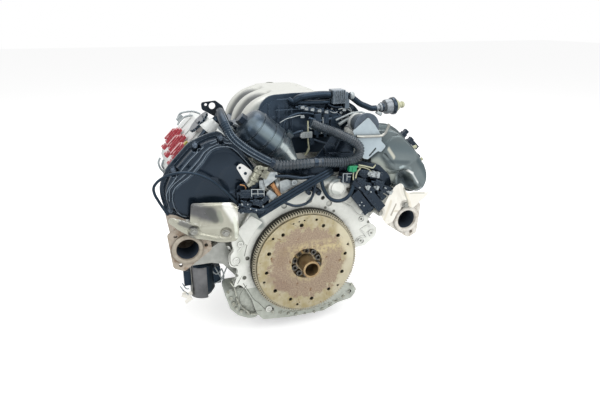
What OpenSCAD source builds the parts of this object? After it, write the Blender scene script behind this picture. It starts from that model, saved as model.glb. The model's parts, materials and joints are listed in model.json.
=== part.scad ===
// Six-cylinder vee engine for a car, standing on its oil pan with the gearbox end bare.
// Origin: crankshaft axis, on the rear face of the drive plate.
// +X points right seen from the rear, +Y runs to the belt end, +Z is up.
// Each bank has its own frame: x points away from the valley, z (called h) runs up
// the cylinders from the crankshaft axis, and y is the engine's own Y.

/* [Block and heads] */
// Length of the cylinder block behind its bell-housing flange
block_len = 361; // [330:1:400]
// Distance between neighbouring cylinders
bore_pitch = 88; // [84:1:92]
// Height of the head joint above the crankshaft axis
deck_h = 228; // [220:1:240]
// Height of a cylinder head
head_h = 112; // [104:1:120]
// Half width of a cylinder bank
bank_half_w = 76; // [70:1:82]
// Half width of the crankcase
case_half_w = 138; // [128:1:146]
// Depth of the crankcase skirt below the crankshaft axis
skirt_depth = 62; // [56:1:70]
// Radius of a main bearing journal
journal_r = 32; // [28:0.5:36]
// Thickness of the bell-housing flange
flange_t = 14; // [10:1:18]
// Thickness of a chain cover
chain_cover_t = 42; // [34:1:48]

/* [Drive plate] */
// Radius of the drive plate
plate_r = 130.5; // [122:0.5:136]
// Thickness of the drive plate
plate_t = 6; // [4:0.5:8]
// Width of the starter ring gear
ring_w = 12; // [9:0.5:14]
// Number of teeth on the starter ring gear
ring_teeth = 132; // [120:1:140]
// Height of a ring gear tooth
tooth_h = 5; // [3:0.5:6]
// Radius of the circle of the twelve large holes
hole_circle_r = 107; // [98:1:112]
// Radius of a torque converter hole
hole_r = 5.25; // [4:0.25:7]
// Radius of the circle of the crankshaft bolts
bolt_circle_r = 33; // [31:0.5:36]
// Outer radius of the pilot sleeve
sleeve_r = 21; // [19:0.5:22.5]
// Bore radius of the pilot sleeve
sleeve_bore_r = 17.25; // [15:0.25:18]
// Length of the pilot sleeve that stands out behind the drive plate
sleeve_out = 38; // [25:1:50]

/* [Oil pan] */
// Depth of the upper oil pan
upper_pan_h = 58; // [48:1:66]
// Depth of the lower oil pan
lower_pan_h = 85; // [70:1:95]

/* [Exhaust] */
// Distance of an exhaust outlet from the engine's middle plane
outlet_x = 292; // [286:1:298]
// Height of an exhaust outlet above the crankshaft axis
outlet_z = 76; // [70:1:82]
// Bore radius of an exhaust outlet
outlet_bore_r = 26.5; // [22:0.5:27]
// Radius of the circle of the outlet flange holes
outlet_bolt_r = 44; // [40:0.5:48]

/* [Intake and filter] */
// Outer radius of the intake runner bend
runner_r = 75; // [68:1:78]
// Thickness of an intake runner
runner_t = 42; // [34:1:46]
// Bore radius of the throttle body
throttle_r = 34; // [30:0.5:36]
// Largest radius of the oil filter cap
filter_r = 51; // [44:0.5:54]

/* [Belt drive] */
// Radius of the crankshaft pulley
crank_pulley_r = 72; // [64:1:80]
// Radius of the water pump pulley
pump_pulley_r = 52; // [44:1:58]
// Radius of the tensioner pulley
tensioner_r = 34; // [28:1:38]
// Width of the ribbed belt
belt_w = 21; // [16:1:25]
// Number of ribs on the belt and grooves in the pulleys
belt_ribs = 6; // [4:1:7]

/* [Fits] */
// Radial clearance of a shaft that turns in its bore
running_fit = 0.05; // [0.02:0.01:0.1]
// Gap between two bodies that move past each other
gap = 0.4; // [0.3:0.05:0.8]

/* [Hidden] */
$fn = 48;
half_root = sqrt(0.5);

// Stations along the crankshaft, from the drive plate to the belt
dish_depth = 12;
hub_t = 6;
hub_front = dish_depth + hub_t;
flange_y = 30;
case_y = flange_y + flange_t;
block_end = case_y + block_len;
head_y = flange_y + 32;
head_end = block_end + 7;
cover_y = head_y - chain_cover_t;
front_t = 20;
front_end = block_end + front_t;
belt_y = front_end + 22;
cyl_y = [for (i = [0:2]) (case_y + block_end) / 2 + (i - 1) * bore_pitch];

// Heights in a bank's own frame
head_top = deck_h + head_h;
cam_cover_h = 46;
cover_top = head_top + cam_cover_h;
head_in = 100;
head_out = 98;

// Drive plate
tool_hole_r = hole_r - 0.5;
dish_r = 41;
dish_wall = 6;
ring_root_r = plate_r + 4.5;
ring_tip_r = ring_root_r + tooth_h;
ring_in_r = plate_r - 6;
crank_bolts_n = 10;
crank_head_r = 7.5;
crank_head_h = 9;
crank_flange_r = 44;

// Oil pan
upper_pan_bottom = -skirt_depth - upper_pan_h;
pan_bottom = upper_pan_bottom - lower_pan_h;

// Intake
runner_in_r = runner_r - runner_t;
runner_z = 333;
left_bend_x = -45;
right_bend_x = 80;
runner_pitch = 86;
runner_w = 82;
runner_y = [for (i = [0:2]) 183 + i * runner_pitch];
intake_y = runner_y[0] - runner_w / 2;
intake_end = runner_y[2] + runner_w / 2;
throttle_at = [34, intake_end, 360];

// Filter: the axis leans 41 degrees in the plane across the engine
filter_y = 70;
filter_foot = [3, filter_y, 250];
filter_lean = -49;
filter_len = 176;
filter_split = 78;

// Belt drive
pump_at = [18, 150];
tensioner_at = [-118, 66];
tensioner_pivot = [-116, 14];
belt_t = 4.2;
neck_y = front_end + 7.5;
neck_bore_r = 8.5;
thermostat_bore_r = 15.5;

// Vacuum pump on the right bank, in the bank frame
pump_local = [-128, deck_h + 124];
// Start of the check valve in the right bank frame [x, h]
valve_at = [-99.49, cover_top + 33.53];

// Left oil filler cap in the bank frame
filler_at = [-84, 190];
filler_r = 30;

// ---------------------------------------------------------------- helpers

function unit(v) = v / norm(v);

// One rounded corner p between its neighbours a and b, as arc points
function corner(p, a, b, r, n) =
    let (u = unit(a - p), v = unit(b - p), half = acos(max(-1, min(1, u * v))) / 2)
    half > 89 ? [p] :
    let (t = min(r / tan(half), 0.45 * min(norm(a - p), norm(b - p))),
         rr = t * tan(half),
         c = p + unit(u + v) * rr / sin(half),
         turn = (u[0] * v[1] - u[1] * v[0]) < 0 ? 1 : -1,
         s = p + u * t - c)
    [for (k = [0:n]) let (w = turn * (180 - 2 * half) * k / n)
        c + [s[0] * cos(w) - s[1] * sin(w), s[0] * sin(w) + s[1] * cos(w)]];

// An outline with every corner rounded by r
function rounded(pts, r, n = 4) = let (m = len(pts))
    [for (i = [0:m - 1]) each corner(pts[i], pts[(i + m - 1) % m], pts[(i + 1) % m], r, n)];

// Points along a smooth curve through the points of a route
function blend(a, b, c, d, t) = 0.5 * (2 * b + (c - a) * t
    + (2 * a - 5 * b + 4 * c - d) * t * t + (3 * b - a - 3 * c + d) * t * t * t);
function smooth(p, n) = let (m = len(p) - 1)
    [for (i = [0:m - 1]) for (k = [0:n - 1])
        blend(p[max(i - 1, 0)], p[i], p[i + 1], p[min(i + 2, m)], k / n), p[m]];

function tangents(p) = let (m = len(p) - 1)
    [for (i = [0:m]) unit(p[min(i + 1, m)] - p[max(i - 1, 0)])];
function carry(t, i, n) = let (m = unit(n - (n * t[i]) * t[i]))
    i == len(t) - 1 ? [m] : concat([m], carry(t, i + 1, m));

// A round tube swept along the points of a curve
module sweep(p, r, sides = 10, start = [0, 1, 0.1]) {
    t = tangents(p);
    n = carry(t, 0, start);
    m = len(p);
    pts = [for (i = [0:m - 1]) for (k = [0:sides - 1])
        p[i] + r * (cos(360 * k / sides) * n[i] + sin(360 * k / sides) * cross(t[i], n[i]))];
    walls = [for (i = [0:m - 2]) for (k = [0:sides - 1]) let (j = (k + 1) % sides)
        [i * sides + k, (i + 1) * sides + k, (i + 1) * sides + j, i * sides + j]];
    first = [for (k = [0:sides - 1]) k];
    last = [for (k = [sides - 1:-1:0]) (m - 1) * sides + k];
    polyhedron(pts, concat(walls, [first, last]), convexity = 6);
}

// A flat outline in X and Z pushed along Y
module along_y(y0, length) {
    translate([0, y0 + length, 0]) rotate([90, 0, 0]) linear_extrude(length) children();
}

// A round rod along Y at [x, z]
module rod(at, r, y0, length) {
    translate([at[0], y0 + length, at[1]]) rotate([90, 0, 0]) cylinder(r = r, h = length);
}

// A cone along Y at [x, z], r0 at y0 and r1 at the far end
module cone(at, r0, r1, y0, length) {
    translate([at[0], y0, at[1]]) rotate([-90, 0, 0]) cylinder(r1 = r0, r2 = r1, h = length);
}

// The frame of a bank: side 1 is the right bank, side -1 the left one
module bank(side) {
    if (side > 0) rotate([0, 45, 0]) children();
    else mirror([1, 0, 0]) rotate([0, 45, 0]) children();
}

// Left and right copies about the engine's middle plane
module both() {
    children();
    mirror([1, 0, 0]) children();
}

// ---------------------------------------------------------------- cylinder block

// Corners of the bell-housing flange, clockwise from the upper left
flange_pts = [[-137, 146], [-84, 146], [-62, 184], [112, 184], [158, 116], [184, 100],
    [186, 76], [212, 58], [208, 34], [178, 10], [150, 8], [132, 20], [118, -60],
    [122, -96], [148, -108], [156, -128], [142, -146], [104, -152], [60, -170], [-40, -170],
    [-112, -162], [-128, -140], [-140, -96], [-156, -62], [-172, -44], [-188, -58],
    [-176, -22], [-172, 0], [-194, 8], [-192, 34], [-180, 50], [-186, 72], [-170, 86],
    [-158, 112]];
// Bolt bosses on the flange: [x, z, boss radius, hole radius]
flange_bosses = [[-166, 65, 14, 5.5], [-147, 23, 13, 5.5], [-157, -30, 14, 5.5],
    [-88, -136, 17, 6.5], [137, -124, 16, 5.5], [53, 161, 15, 5.5], [165, 87, 14, 5.5],
    [194, 44, 14, 5.5], [167, 24, 15, 6.5]];
starter_hole = [-174, 20, 8];
// Sunk pads on the flange that carry the coolant casting and the control unit: [x, z, radius]
flange_pads = [[84, 190, 25.5], [128, 146, 7.5]];
pad_depth = 0.6;

module flange_outline() {
    polygon(rounded(flange_pts, 10, 4));
}

// Into the bank frame counted from the deck of the block
module on_deck() {
    translate([0, 0, deck_h]) children();
}

// Place [x, z] on the right of a point [x, height above the deck] of the bank frame
function from_deck(p) = [(deck_h + p[1] + p[0]) * half_root, (deck_h + p[1] - p[0]) * half_root];

// Lower and upper bolt of each heat shield
shield_bolts = [from_deck([63.6396, -5.9685]), from_deck([106.066, 56.2569])];

module above_skirt() {
    translate([-300, -skirt_depth]) square([600, 500]);
}

module below_skirt() {
    translate([-300, -skirt_depth - 300]) square([600, 300]);
}

// The flange with its bosses, recess and holes; the children cut it to one casting
module flange_plate(upper) {
    difference() {
        union() {
            along_y(flange_y, flange_t) intersection() {
                flange_outline();
                if (upper) above_skirt();
                else below_skirt();
            }
            for (b = flange_bosses)
                if ((b[1] > -skirt_depth) == upper)
                    rod([b[0], b[1]], b[2], flange_y, flange_t + 8);
        }
        for (b = flange_bosses)
            if ((b[1] > -skirt_depth) == upper)
                rod([b[0], b[1]], b[3], flange_y - 1, flange_t + 10);
        if (upper)
            rod([starter_hole[0], starter_hole[1]], starter_hole[2], flange_y - 1, flange_t + 10);
        // shallow pocket round the ring gear
        rod([0, 0], ring_tip_r - 2, flange_y - 1, 5);
        for (p = flange_pads) rod([p[0], p[1]], p[2], flange_y - 1, 1 + pad_depth);
    }
}

module bank_section(x0, x1, h0, h1) {
    rotate(-45) translate([x0, h0]) square([x1 - x0, h1 - h0]);
}

// Cross-section of the crankcase with both banks
module block_section() {
    both() bank_section(-bank_half_w, bank_half_w, 40, deck_h);
    polygon([[-case_half_w, -skirt_depth], [case_half_w, -skirt_depth],
        [case_half_w, 24], [110, 60], [-110, 60], [-case_half_w, 24]]);
    translate([-66, 60]) square([132, 92]);
}

module cylinder_block() {
    color([0.83, 0.84, 0.83])
    difference() {
        union() {
            flange_plate(true);
            along_y(case_y, block_len) block_section();
            // deck rails
            for (s = [-1, 1])
                bank(s) translate([-bank_half_w - 8, case_y + 5, deck_h - 14])
                    cube([2 * bank_half_w + 16, block_len - 10, 14]);
            // cast ribs down each side of the crankcase
            both() for (i = [0:5])
                translate([case_half_w - 2, case_y + 24 + i * (block_len - 50) / 5, -skirt_depth])
                    cube([10, 7, 84]);
            // long rail over the pan joint
            both() translate([case_half_w - 2, case_y, -skirt_depth])
                cube([12, block_len, 12]);
            // posts that carry the lower bolts of the heat shields
            both() rod(shield_bolts[0], 9, 4, case_y + 6);
            // pad for the engine mount on the left
            translate([-case_half_w - 10, 58, -50]) cube([12, 104, 82]);
        }
        rod([0, 0], journal_r + running_fit, flange_y - 1, block_len + flange_t + 2);
        rod([0, 0], crank_flange_r + gap, flange_y - 1, 12);
        // core plugs in the outer side of each bank
        for (s = [-1, 1]) bank(s) for (y = cyl_y)
            translate([bank_half_w - 3, y, deck_h - 78]) rotate([0, 90, 0]) cylinder(r = 17, h = 8);
        // shallow web pockets between the flange bosses
        for (a = [108, 84, 64]) rod([160 * cos(a), 160 * sin(a)], 8, flange_y - 1, 5);
        // tapped holes for the heat shields
        both() rod(shield_bolts[0], 4.4, 3, 24);
    }
}

// ---------------------------------------------------------------- oil pan

module upper_oil_pan() {
    color([0.72, 0.74, 0.72])
    difference() {
        union() {
            flange_plate(false);
            along_y(case_y, block_len) polygon([[-case_half_w - 10, -skirt_depth],
                [-case_half_w - 10, -skirt_depth - 12], [-case_half_w, -skirt_depth - 16],
                [-112, upper_pan_bottom], [112, upper_pan_bottom],
                [case_half_w, -skirt_depth - 16], [case_half_w + 10, -skirt_depth - 12],
                [case_half_w + 10, -skirt_depth]]);
            // bulged pocket beside the starter, set back from the flange face
            along_y(flange_y + 9, 62) polygon(rounded([[-124, -skirt_depth], [-204, -skirt_depth],
                [-204, -82], [-196, -118], [-176, -142], [-148, -156], [-124, -158]], 14, 4));
            // rails between the two pans
            along_y(case_y, block_len) translate([-120, upper_pan_bottom])
                square([240, 12]);
            both() for (i = [0:4])
                translate([case_half_w - 14, case_y + 36 + i * (block_len - 70) / 4, upper_pan_bottom])
                    cube([12, 7, upper_pan_h]);
        }
        // crankshaft flange sweeps through the joint
        rod([0, 0], journal_r + 12, flange_y - 1, block_len + 40);
        // recess inside the bell-housing mouth
        rod([0, 0], ring_tip_r - 12, flange_y - 1, 8);
    }
}

module lower_oil_pan() {
    color([0.22, 0.23, 0.24])
    difference() {
        union() {
            translate([-120, case_y + 9, upper_pan_bottom - 5]) cube([240, block_len - 13, 5]);
            hull() {
                translate([-104, case_y + 22, upper_pan_bottom - 6]) cube([208, block_len - 42, 2]);
                translate([-88, case_y + 60, pan_bottom]) cube([176, block_len - 130, 2]);
            }
        }
        // drain recess at the deep end
        rod([0, pan_bottom + 26], 12, block_end - 60, 80);
    }
    // drain plug with its washer, screwed into the sloping end
    color([0.6, 0.6, 0.58]) {
        rod([0, pan_bottom + 26], 11.5, block_end - 58, 12);
        rod([0, pan_bottom + 26], 8, block_end - 50, 12);
    }
}

// ---------------------------------------------------------------- rear seal flange

module rear_seal_flange() {
    color([0.55, 0.56, 0.56])
    difference() {
        union() {
            rod([0, 0], 72, flange_y - 5, 8.95);
            for (a = [0:60:300]) rod([74 * cos(a), 74 * sin(a)], 9, flange_y - 5, 8.95);
        }
        rod([0, 0], crank_flange_r + gap, flange_y - 6, 12);
        for (a = [0:60:300]) rod([74 * cos(a), 74 * sin(a)], 3.4, flange_y - 6, 12);
    }
}

// ---------------------------------------------------------------- cylinder heads

port_h = deck_h + 33;

module cylinder_head(side) {
    color([0.78, 0.79, 0.79])
    bank(side)
    difference() {
        union() {
            along_y(head_y, head_end - head_y) polygon([[-head_in, deck_h], [head_out, deck_h],
                [head_out, deck_h + 64], [head_out - 12, head_top], [-head_in, head_top]]);
            // joint rails top and bottom
            translate([-head_in, head_y, head_top - 9])
                cube([head_in + head_out - 6, head_end - head_y, 9]);
            translate([-head_in, head_y, deck_h]) cube([head_in + head_out + 3, head_end - head_y, 9]);
            // ear and post that carry the upper bolt of the heat shield
            translate([head_out - 8, head_y, deck_h + 48]) cube([24, 14, 16]);
            rod([106, deck_h + 56], 7, 4, head_y);
            // exhaust port pads
            for (y = cyl_y) translate([head_out - 2, y - 27, port_h - 27]) cube([6, 54, 54]);
        }
        rod([106, deck_h + 56], 4.4, 3, 24);
        // exhaust ports
        for (y = cyl_y) translate([head_out - 20, y, port_h]) rotate([0, 90, 0])
            cylinder(r = 17, h = 40);
        // relief between the ports
        for (y = cyl_y) translate([head_out - 10, y + bore_pitch / 2 - 10, deck_h + 16])
            cube([30, 20, 40]);
    }
}

// ---------------------------------------------------------------- cam covers

module cam_cover(side) {
    color([0.87, 0.87, 0.85])
    bank(side)
    difference() {
        union() {
            along_y(head_y, head_end - head_y) polygon(rounded([[-head_in - 2, head_top],
                [-head_in - 2, head_top + 8], [-head_in + 5, head_top + 9],
                [-head_in + 5, cover_top - 12], [-head_in + 20, cover_top],
                [-18, cover_top], [-6, cover_top - 6], [50, cover_top - 6],
                [70, cover_top - 16], [76, head_top + 9], [head_out - 6, head_top + 8],
                [head_out - 6, head_top]], 5, 3));
            // cones that carry the breather elbow and the filler neck
            if (side < 0) {
                translate([-84, 104, cover_top + 6]) rotate([0, -90, 0])
                    cylinder(r1 = 21, r2 = 12, h = 31);
                translate([filler_at[0], filler_at[1], cover_top - 3])
                    cylinder(r = filler_r - 7, h = 13);
            }
            // lug that carries the vacuum pump
            if (side > 0) {
                rod(pump_local, 24, head_y, 12);
                translate([pump_local[0], head_y, pump_local[1] - 11]) cube([36, 12, 30]);
            }
            // rib along the middle and cross ribs
            for (y = cyl_y) translate([-74, y + bore_pitch / 2 - 3, cover_top - 4])
                cube([58, 6, 7]);
            // joint bolts bosses
            for (i = [0:4]) for (x = [-head_in + 3, head_out - 12])
                translate([x, head_y + 22 + i * (head_end - head_y - 44) / 4, head_top])
                    cylinder(r = 7, h = 13);
        }
        // coil wells
        for (y = cyl_y) translate([16, y, cover_top - 24]) cylinder(r = 15, h = 40);
        if (side < 0)
            translate([filler_at[0], filler_at[1], cover_top - 20])
                cylinder(r = filler_r - 12, h = 60);
    }
}

module ignition_coil() {
    difference() {
        union() {
            translate([0, 0, -20]) cylinder(r = 14.4, h = 22);
            along_y(-15, 30) polygon(rounded([[-24, 2], [40, 2], [40, 12], [30, 18],
                [-16, 18], [-24, 12]], 4, 3));
            translate([36, -9, 3]) cube([16, 18, 9]);
            along_y(-4, 8) polygon([[-12, 16], [28, 16], [22, 22], [-6, 22]]);
        }
        translate([46, -6.5, 5]) cube([10, 13, 5]);
    }
}

module ignition_coils(side) {
    color([0.72, 0.12, 0.13])
    bank(side) for (y = cyl_y) translate([16, y, cover_top - 3.6]) ignition_coil();
}

// ---------------------------------------------------------------- chain covers

// Corners of the chain covers in the bank frame [x, height above the deck]
left_cover_pts = [[-105, 156], [-83, 171], [-66, 179], [-38, 190], [36, 189], [79, 174],
    [97, 157], [116, 128], [123, 116], [112, 102], [106, 72], [58, 22], [10, 4],
    [-46, 2], [-82, 10], [-97, 36], [-104, 82]];
right_cover_pts = [[-104, 144], [-86, 162], [-66, 177], [-38, 184], [40, 184], [78, 180],
    [108, 168], [128, 150], [138, 130], [137, 113], [126, 97], [104, 86], [66, 70],
    [4, 55], [-44, 62], [-80, 90], [-101, 118]];
left_cover_bolts = [[-44, 176], [30, 175], [107, 117], [-94, 144], [-88, 24], [78, 52],
    [4, 18]];
right_cover_bolts = [[-50, 170], [20, 172], [96, 160], [-90, 138], [124, 113], [66, 78],
    [-40, 72]];

// A ring of points drawn in towards c
function inset(p, c, k) = [for (q = p) c + (q - c) * k];

module cover_bolt_holes(bolts) {
    for (b = bolts) {
        rod(b, 4.4, cover_y - 5, chain_cover_t + 6);
        // wall scalloped round each bolt head
        rod(b, 10.5, cover_y - 5, head_y - 16 - cover_y + 5);
    }
}

module chain_cover_left() {
    c = [8, 90];
    color([0.1, 0.11, 0.13])
    bank(-1) on_deck()
    difference() {
        union() {
            // wide foot against the head, and the drawn body
            along_y(head_y - 10, 9.7) polygon(rounded(left_cover_pts, 12, 4));
            along_y(cover_y + 6, chain_cover_t - 12)
                polygon(rounded(inset(left_cover_pts, c, 0.96), 12, 4));
            for (b = left_cover_bolts) rod(b, 9.5, head_y - 16, 15.7);
            // raised beads that stiffen the face
            for (k = [[0.93, 0], [0.85, 1.5]]) along_y(cover_y + k[1], 8) difference() {
                polygon(rounded(inset(left_cover_pts, c, k[0]), 12, 4));
                polygon(rounded(inset(left_cover_pts, c, k[0] - 0.022), 12, 4));
            }
            // round caps over the two camshaft phasers
            rod([-44, 122], 30, cover_y + 2, 12);
            rod([52, 110], 30, cover_y + 2, 12);
        }
        // pressed pocket on the inner side
        along_y(cover_y - 1, 13) polygon(rounded([[-84, 102], [-70, 68], [-10, 34], [40, 40],
            [44, 68], [-6, 84], [-52, 90]], 14, 4));
        cover_bolt_holes(left_cover_bolts);
    }
}

module chain_cover_right() {
    c = [28, 118];
    color([0.33, 0.35, 0.37])
    bank(1) on_deck()
    difference() {
        union() {
            along_y(head_y - 10, 9.7) polygon(rounded(right_cover_pts, 12, 4));
            along_y(cover_y + 12, chain_cover_t - 18)
                polygon(rounded(inset(right_cover_pts, c, 0.95), 12, 4));
            for (b = right_cover_bolts) rod(b, 9.5, head_y - 16, 15.7);
            // domed housings over the two camshaft phasers
            cone([-12, 118], 36, 50, cover_y, 14);
            cone([70, 124], 38, 54, cover_y - 2, 16);
            // broad bridge between them
            along_y(cover_y + 4, 12) polygon(rounded([[-34, 78], [10, 68], [70, 78],
                [104, 102], [112, 128], [84, 156], [-30, 160]], 16, 4));
        }
        // pocket below the domes
        along_y(cover_y - 3, 13) polygon(rounded([[24, 82], [62, 72], [84, 82], [62, 94],
            [34, 96]], 8, 4));
        cover_bolt_holes(right_cover_bolts);
    }
}

// ---------------------------------------------------------------- exhaust

log_r = 31;
manifold_end = cyl_y[2] + 40;
outlet_local_x = (outlet_x - outlet_z) * half_root;
outlet_local_h = (outlet_x + outlet_z) * half_root;
outlet_flange_y = 20;
outlet_flange_t = 12;
outlet_bolts = [55, 175, 295];

module exhaust_manifold(side) {
    color([0.55, 0.46, 0.36])
    mirror([side > 0 ? 0 : 1, 0, 0])
    difference() {
        union() {
            rod([outlet_x, outlet_z], log_r, outlet_flange_y, manifold_end - outlet_flange_y - 20);
            translate([outlet_x, manifold_end - 20, outlet_z]) sphere(r = log_r);
            // three-bolt outlet flange
            along_y(outlet_flange_y, outlet_flange_t) translate([outlet_x, outlet_z])
                polygon(rounded([for (a = outlet_bolts) each [
                    (outlet_bolt_r + 14) * [cos(a - 14), sin(a - 14)],
                    (outlet_bolt_r + 14) * [cos(a + 14), sin(a + 14)]]], 10, 4));
            rod([outlet_x, outlet_z], outlet_bolt_r - 4, outlet_flange_y, outlet_flange_t);
            rod([outlet_x, outlet_z], 33, outlet_flange_y - 3, 12);
            // branches and their flanges on the head
            bank(1) for (y = cyl_y) {
                translate([head_out + 4, y - 26, port_h - 26]) cube([9, 52, 52]);
                translate([head_out + 8, y, port_h]) rotate([0, 90, 0]) cylinder(r = 22,
                    h = outlet_local_x - head_out - 8);
            }
        }
        rod([outlet_x, outlet_z], outlet_bore_r, outlet_flange_y - 8,
            manifold_end - outlet_flange_y - 12);
        for (a = outlet_bolts)
            rod([outlet_x + outlet_bolt_r * cos(a), outlet_z + outlet_bolt_r * sin(a)], 4.6,
                outlet_flange_y - 1, outlet_flange_t + 2);
        bank(1) for (y = cyl_y) {
            translate([head_out, y, port_h]) rotate([0, 90, 0]) cylinder(r = 17,
                h = outlet_local_x - head_out);
            for (z = [-19, 19]) for (v = [-19, 19])
                translate([head_out, y + v, port_h + z]) rotate([0, 90, 0]) cylinder(r = 3.4, h = 16);
        }
    }
}

// Corners of the left shield, seen from the rear, counted from its lower bolt
shield_pts = [[-73, 84], [18, 74], [29, 60], [26, -25], [-12, -23], [-44, -12],
    [-74, -4], [-105, 19], [-131, 48], [-120, 58], [-96, 38], [-82, 34]];
shield_t = 1.6;

module heat_shield_left() {
    low = [-shield_bolts[0][0], shield_bolts[0][1]];
    color([0.8, 0.78, 0.72])
    difference() {
        union() {
            translate([low[0], 0, low[1]]) {
                along_y(2.2, shield_t) polygon(rounded(shield_pts, 7, 4));
                // turned edge down the right side
                translate([27.4, 2.2, -17]) cube([shield_t, 14, 74]);
            }
            for (b = shield_bolts) cone([-b[0], b[1]], 13, 10, 2.2, 1.7);
        }
        for (b = shield_bolts) rod([-b[0], b[1]], 4.4, -2, 10);
    }
}

right_shield_pts = [[20, 36], [38, 70], [48, 78], [72, 68], [84, 52], [140, 44],
    [108, 6], [94, 0], [90, 16], [66, 10], [44, -16], [38, -34], [20, -38],
    [2, 0]];

module heat_shield_right() {
    color([0.9, 0.88, 0.84])
    difference() {
        translate([shield_bolts[0][0], 0, shield_bolts[0][1]]) {
            along_y(2.2, shield_t) polygon(rounded(right_shield_pts, 5, 4));
            // stiffening fold
            along_y(0.6, 3) polygon([[70, 64], [74, 66], [98, 10], [94, 8]]);
        }
        for (b = shield_bolts) rod([b[0], b[1]], 4.4, -2, 10);
    }
}

// ---------------------------------------------------------------- intake

// Section across one runner: radius along x, engine length along y
module runner_section() {
    translate([runner_in_r, -runner_w / 2])
        polygon(rounded([[0, 0], [runner_t, 0], [runner_t, runner_w], [0, runner_w]], 17, 5));
}

module runner_bend(x) {
    for (y = runner_y)
        translate([x, y, runner_z]) rotate([90, 0, 0])
            rotate_extrude(angle = 90, $fn = 72) runner_section();
}

module intake_manifold_upper() {
    color([0.8, 0.8, 0.77])
    difference() {
        union() {
            mirror([1, 0, 0]) runner_bend(-left_bend_x);
            runner_bend(right_bend_x);
            // roof over both rows of runners
            translate([left_bend_x, 0, runner_z]) rotate([90, 0, 90])
                linear_extrude(right_bend_x - left_bend_x) for (y = runner_y)
                    translate([y, 0]) rotate(90) runner_section();
            translate([left_bend_x + 22, intake_y + 6, runner_z + runner_in_r])
                cube([right_bend_x - left_bend_x - 30, intake_end - intake_y - 12, runner_t - 2]);
            // plenum down to the throttle body
            translate([throttle_at[0] - 46, intake_end - 60, throttle_at[2] - 45])
                cube([92, 60, 68]);
            along_y(intake_end - 8, 8) translate([throttle_at[0], throttle_at[2]])
                polygon(rounded([[-46, -46], [46, -46], [46, 46], [-46, 46]], 14, 4));
        }
        rod([throttle_at[0], throttle_at[2]], throttle_r, intake_end - 50, 60);
    }
}

module intake_manifold_lower() {
    color([0.1, 0.11, 0.14])
    difference() {
        union() {
            along_y(intake_y - 3, intake_end - intake_y - 17)
                polygon([[-(deck_h + 30 - head_in) * half_root, (deck_h + 30 + head_in) * half_root],
                    [(deck_h + 30 - head_in) * half_root, (deck_h + 30 + head_in) * half_root],
                    [(deck_h + 90 - head_in) * half_root, (deck_h + 90 + head_in) * half_root],
                    [right_bend_x + runner_r, runner_z],
                    [left_bend_x - runner_r, runner_z],
                    [-(deck_h + 90 - head_in) * half_root, (deck_h + 90 + head_in) * half_root]]);
            // flap housing under the roof
            translate([left_bend_x + 34, intake_y, runner_z - 1])
                cube([right_bend_x - left_bend_x - 68, intake_end - intake_y - 61,
                    runner_in_r + 1]);
            // rear wall that shows under the roof
            along_y(intake_y - 18, 17.9) polygon(rounded([[-82, 300], [-84, 372], [-66, 390],
                [-40, 398], [96, 398], [124, 372], [124, 300]], 12, 4));
            for (x = [-60, -14, 38, 86]) translate([x, intake_y - 20.5, 308]) cube([5, 8, 80]);
            translate([-78, intake_y - 20.5, 352]) cube([198, 8, 5]);
        }
        // room for the plenum
        translate([throttle_at[0] - 46.3, intake_end - 60.3, throttle_at[2] - 45.3])
            cube([92.6, 80, 90]);
    }
}

module throttle_body() {
    color([0.68, 0.69, 0.69])
    difference() {
        union() {
            rod([throttle_at[0], throttle_at[2]], throttle_r + 7, intake_end + 0.05, 52);
            along_y(intake_end + 0.05, 9) translate([throttle_at[0], throttle_at[2]])
                polygon(rounded([[-45, -45], [45, -45], [45, 45], [-45, 45]], 14, 4));
            rod([throttle_at[0], throttle_at[2]], throttle_r + 9, intake_end + 46, 6);
            // drive motor and gear case on the right
            translate([throttle_at[0] + 34, intake_end + 12, throttle_at[2] - 40])
                cube([26, 34, 72]);
            translate([throttle_at[0] + 47, intake_end + 29, throttle_at[2] - 44])
                cylinder(r = 17, h = 60);
        }
        rod([throttle_at[0], throttle_at[2]], throttle_r, intake_end - 2, 60);
        translate([throttle_at[0] - throttle_r - 6, intake_end + 29, throttle_at[2]])
            rotate([0, 90, 0]) cylinder(r = 4 + running_fit, h = 2 * throttle_r + 20);
    }
}

module throttle_plate() {
    color([0.7, 0.6, 0.35])
    translate([throttle_at[0], intake_end + 29, throttle_at[2]]) {
        rod([0, 0], throttle_r - gap, -1.2, 2.4);
        translate([-throttle_r - 5, 0, 0]) rotate([0, 90, 0])
            cylinder(r = 4, h = 2 * throttle_r + 18);
    }
}

// ---------------------------------------------------------------- oil filter

// The filter's own frame: z runs up its leaning axis from the foot
module filter_frame() {
    translate(filter_foot) rotate([0, filter_lean, 0]) children();
}

module oil_filter_housing() {
    color([0.2, 0.22, 0.24])
    difference() {
        union() {
            filter_frame() {
                rotate_extrude() polygon([[0, 0], [24, 0], [27, 12], [33, 36], [40, 60],
                    [45, 64], [46, filter_split], [0, filter_split]]);
                for (a = [0:30:330]) rotate(a) translate([0, -1.5, 10])
                    rotate([0, 14, 0]) translate([20, 0, 0]) cube([9, 3, 52]);
            }
            // pedestal down to the valley floor
            translate([-34, 76, 152]) cube([62, 40, 92]);
            translate([-43, 70, 152]) cube([80, 50, 9]);
        }
        for (x = [-38, 32]) translate([x, 95, 150]) cylinder(r = 3, h = 20);
    }
}

module oil_filter_cap() {
    color([0.13, 0.15, 0.17])
    filter_frame() {
        rotate_extrude() polygon([[0, filter_split + 0.05], [46, filter_split + 0.05],
            [49, 84], [filter_r, 100], [filter_r, 104], [49, 106], [50.5, 128],
            [50.5, 133], [47.5, 135], [48, 152], [44, 164], [32, 172], [0, 174]]);
        translate([0, 0, 172]) cylinder(r = 14, h = 13, $fn = 6);
        for (a = [0:20:340]) rotate(a) translate([47, -1.6, 136]) cube([3.2, 3.2, 18]);
    }
}

// ---------------------------------------------------------------- filler cap and coils

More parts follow.
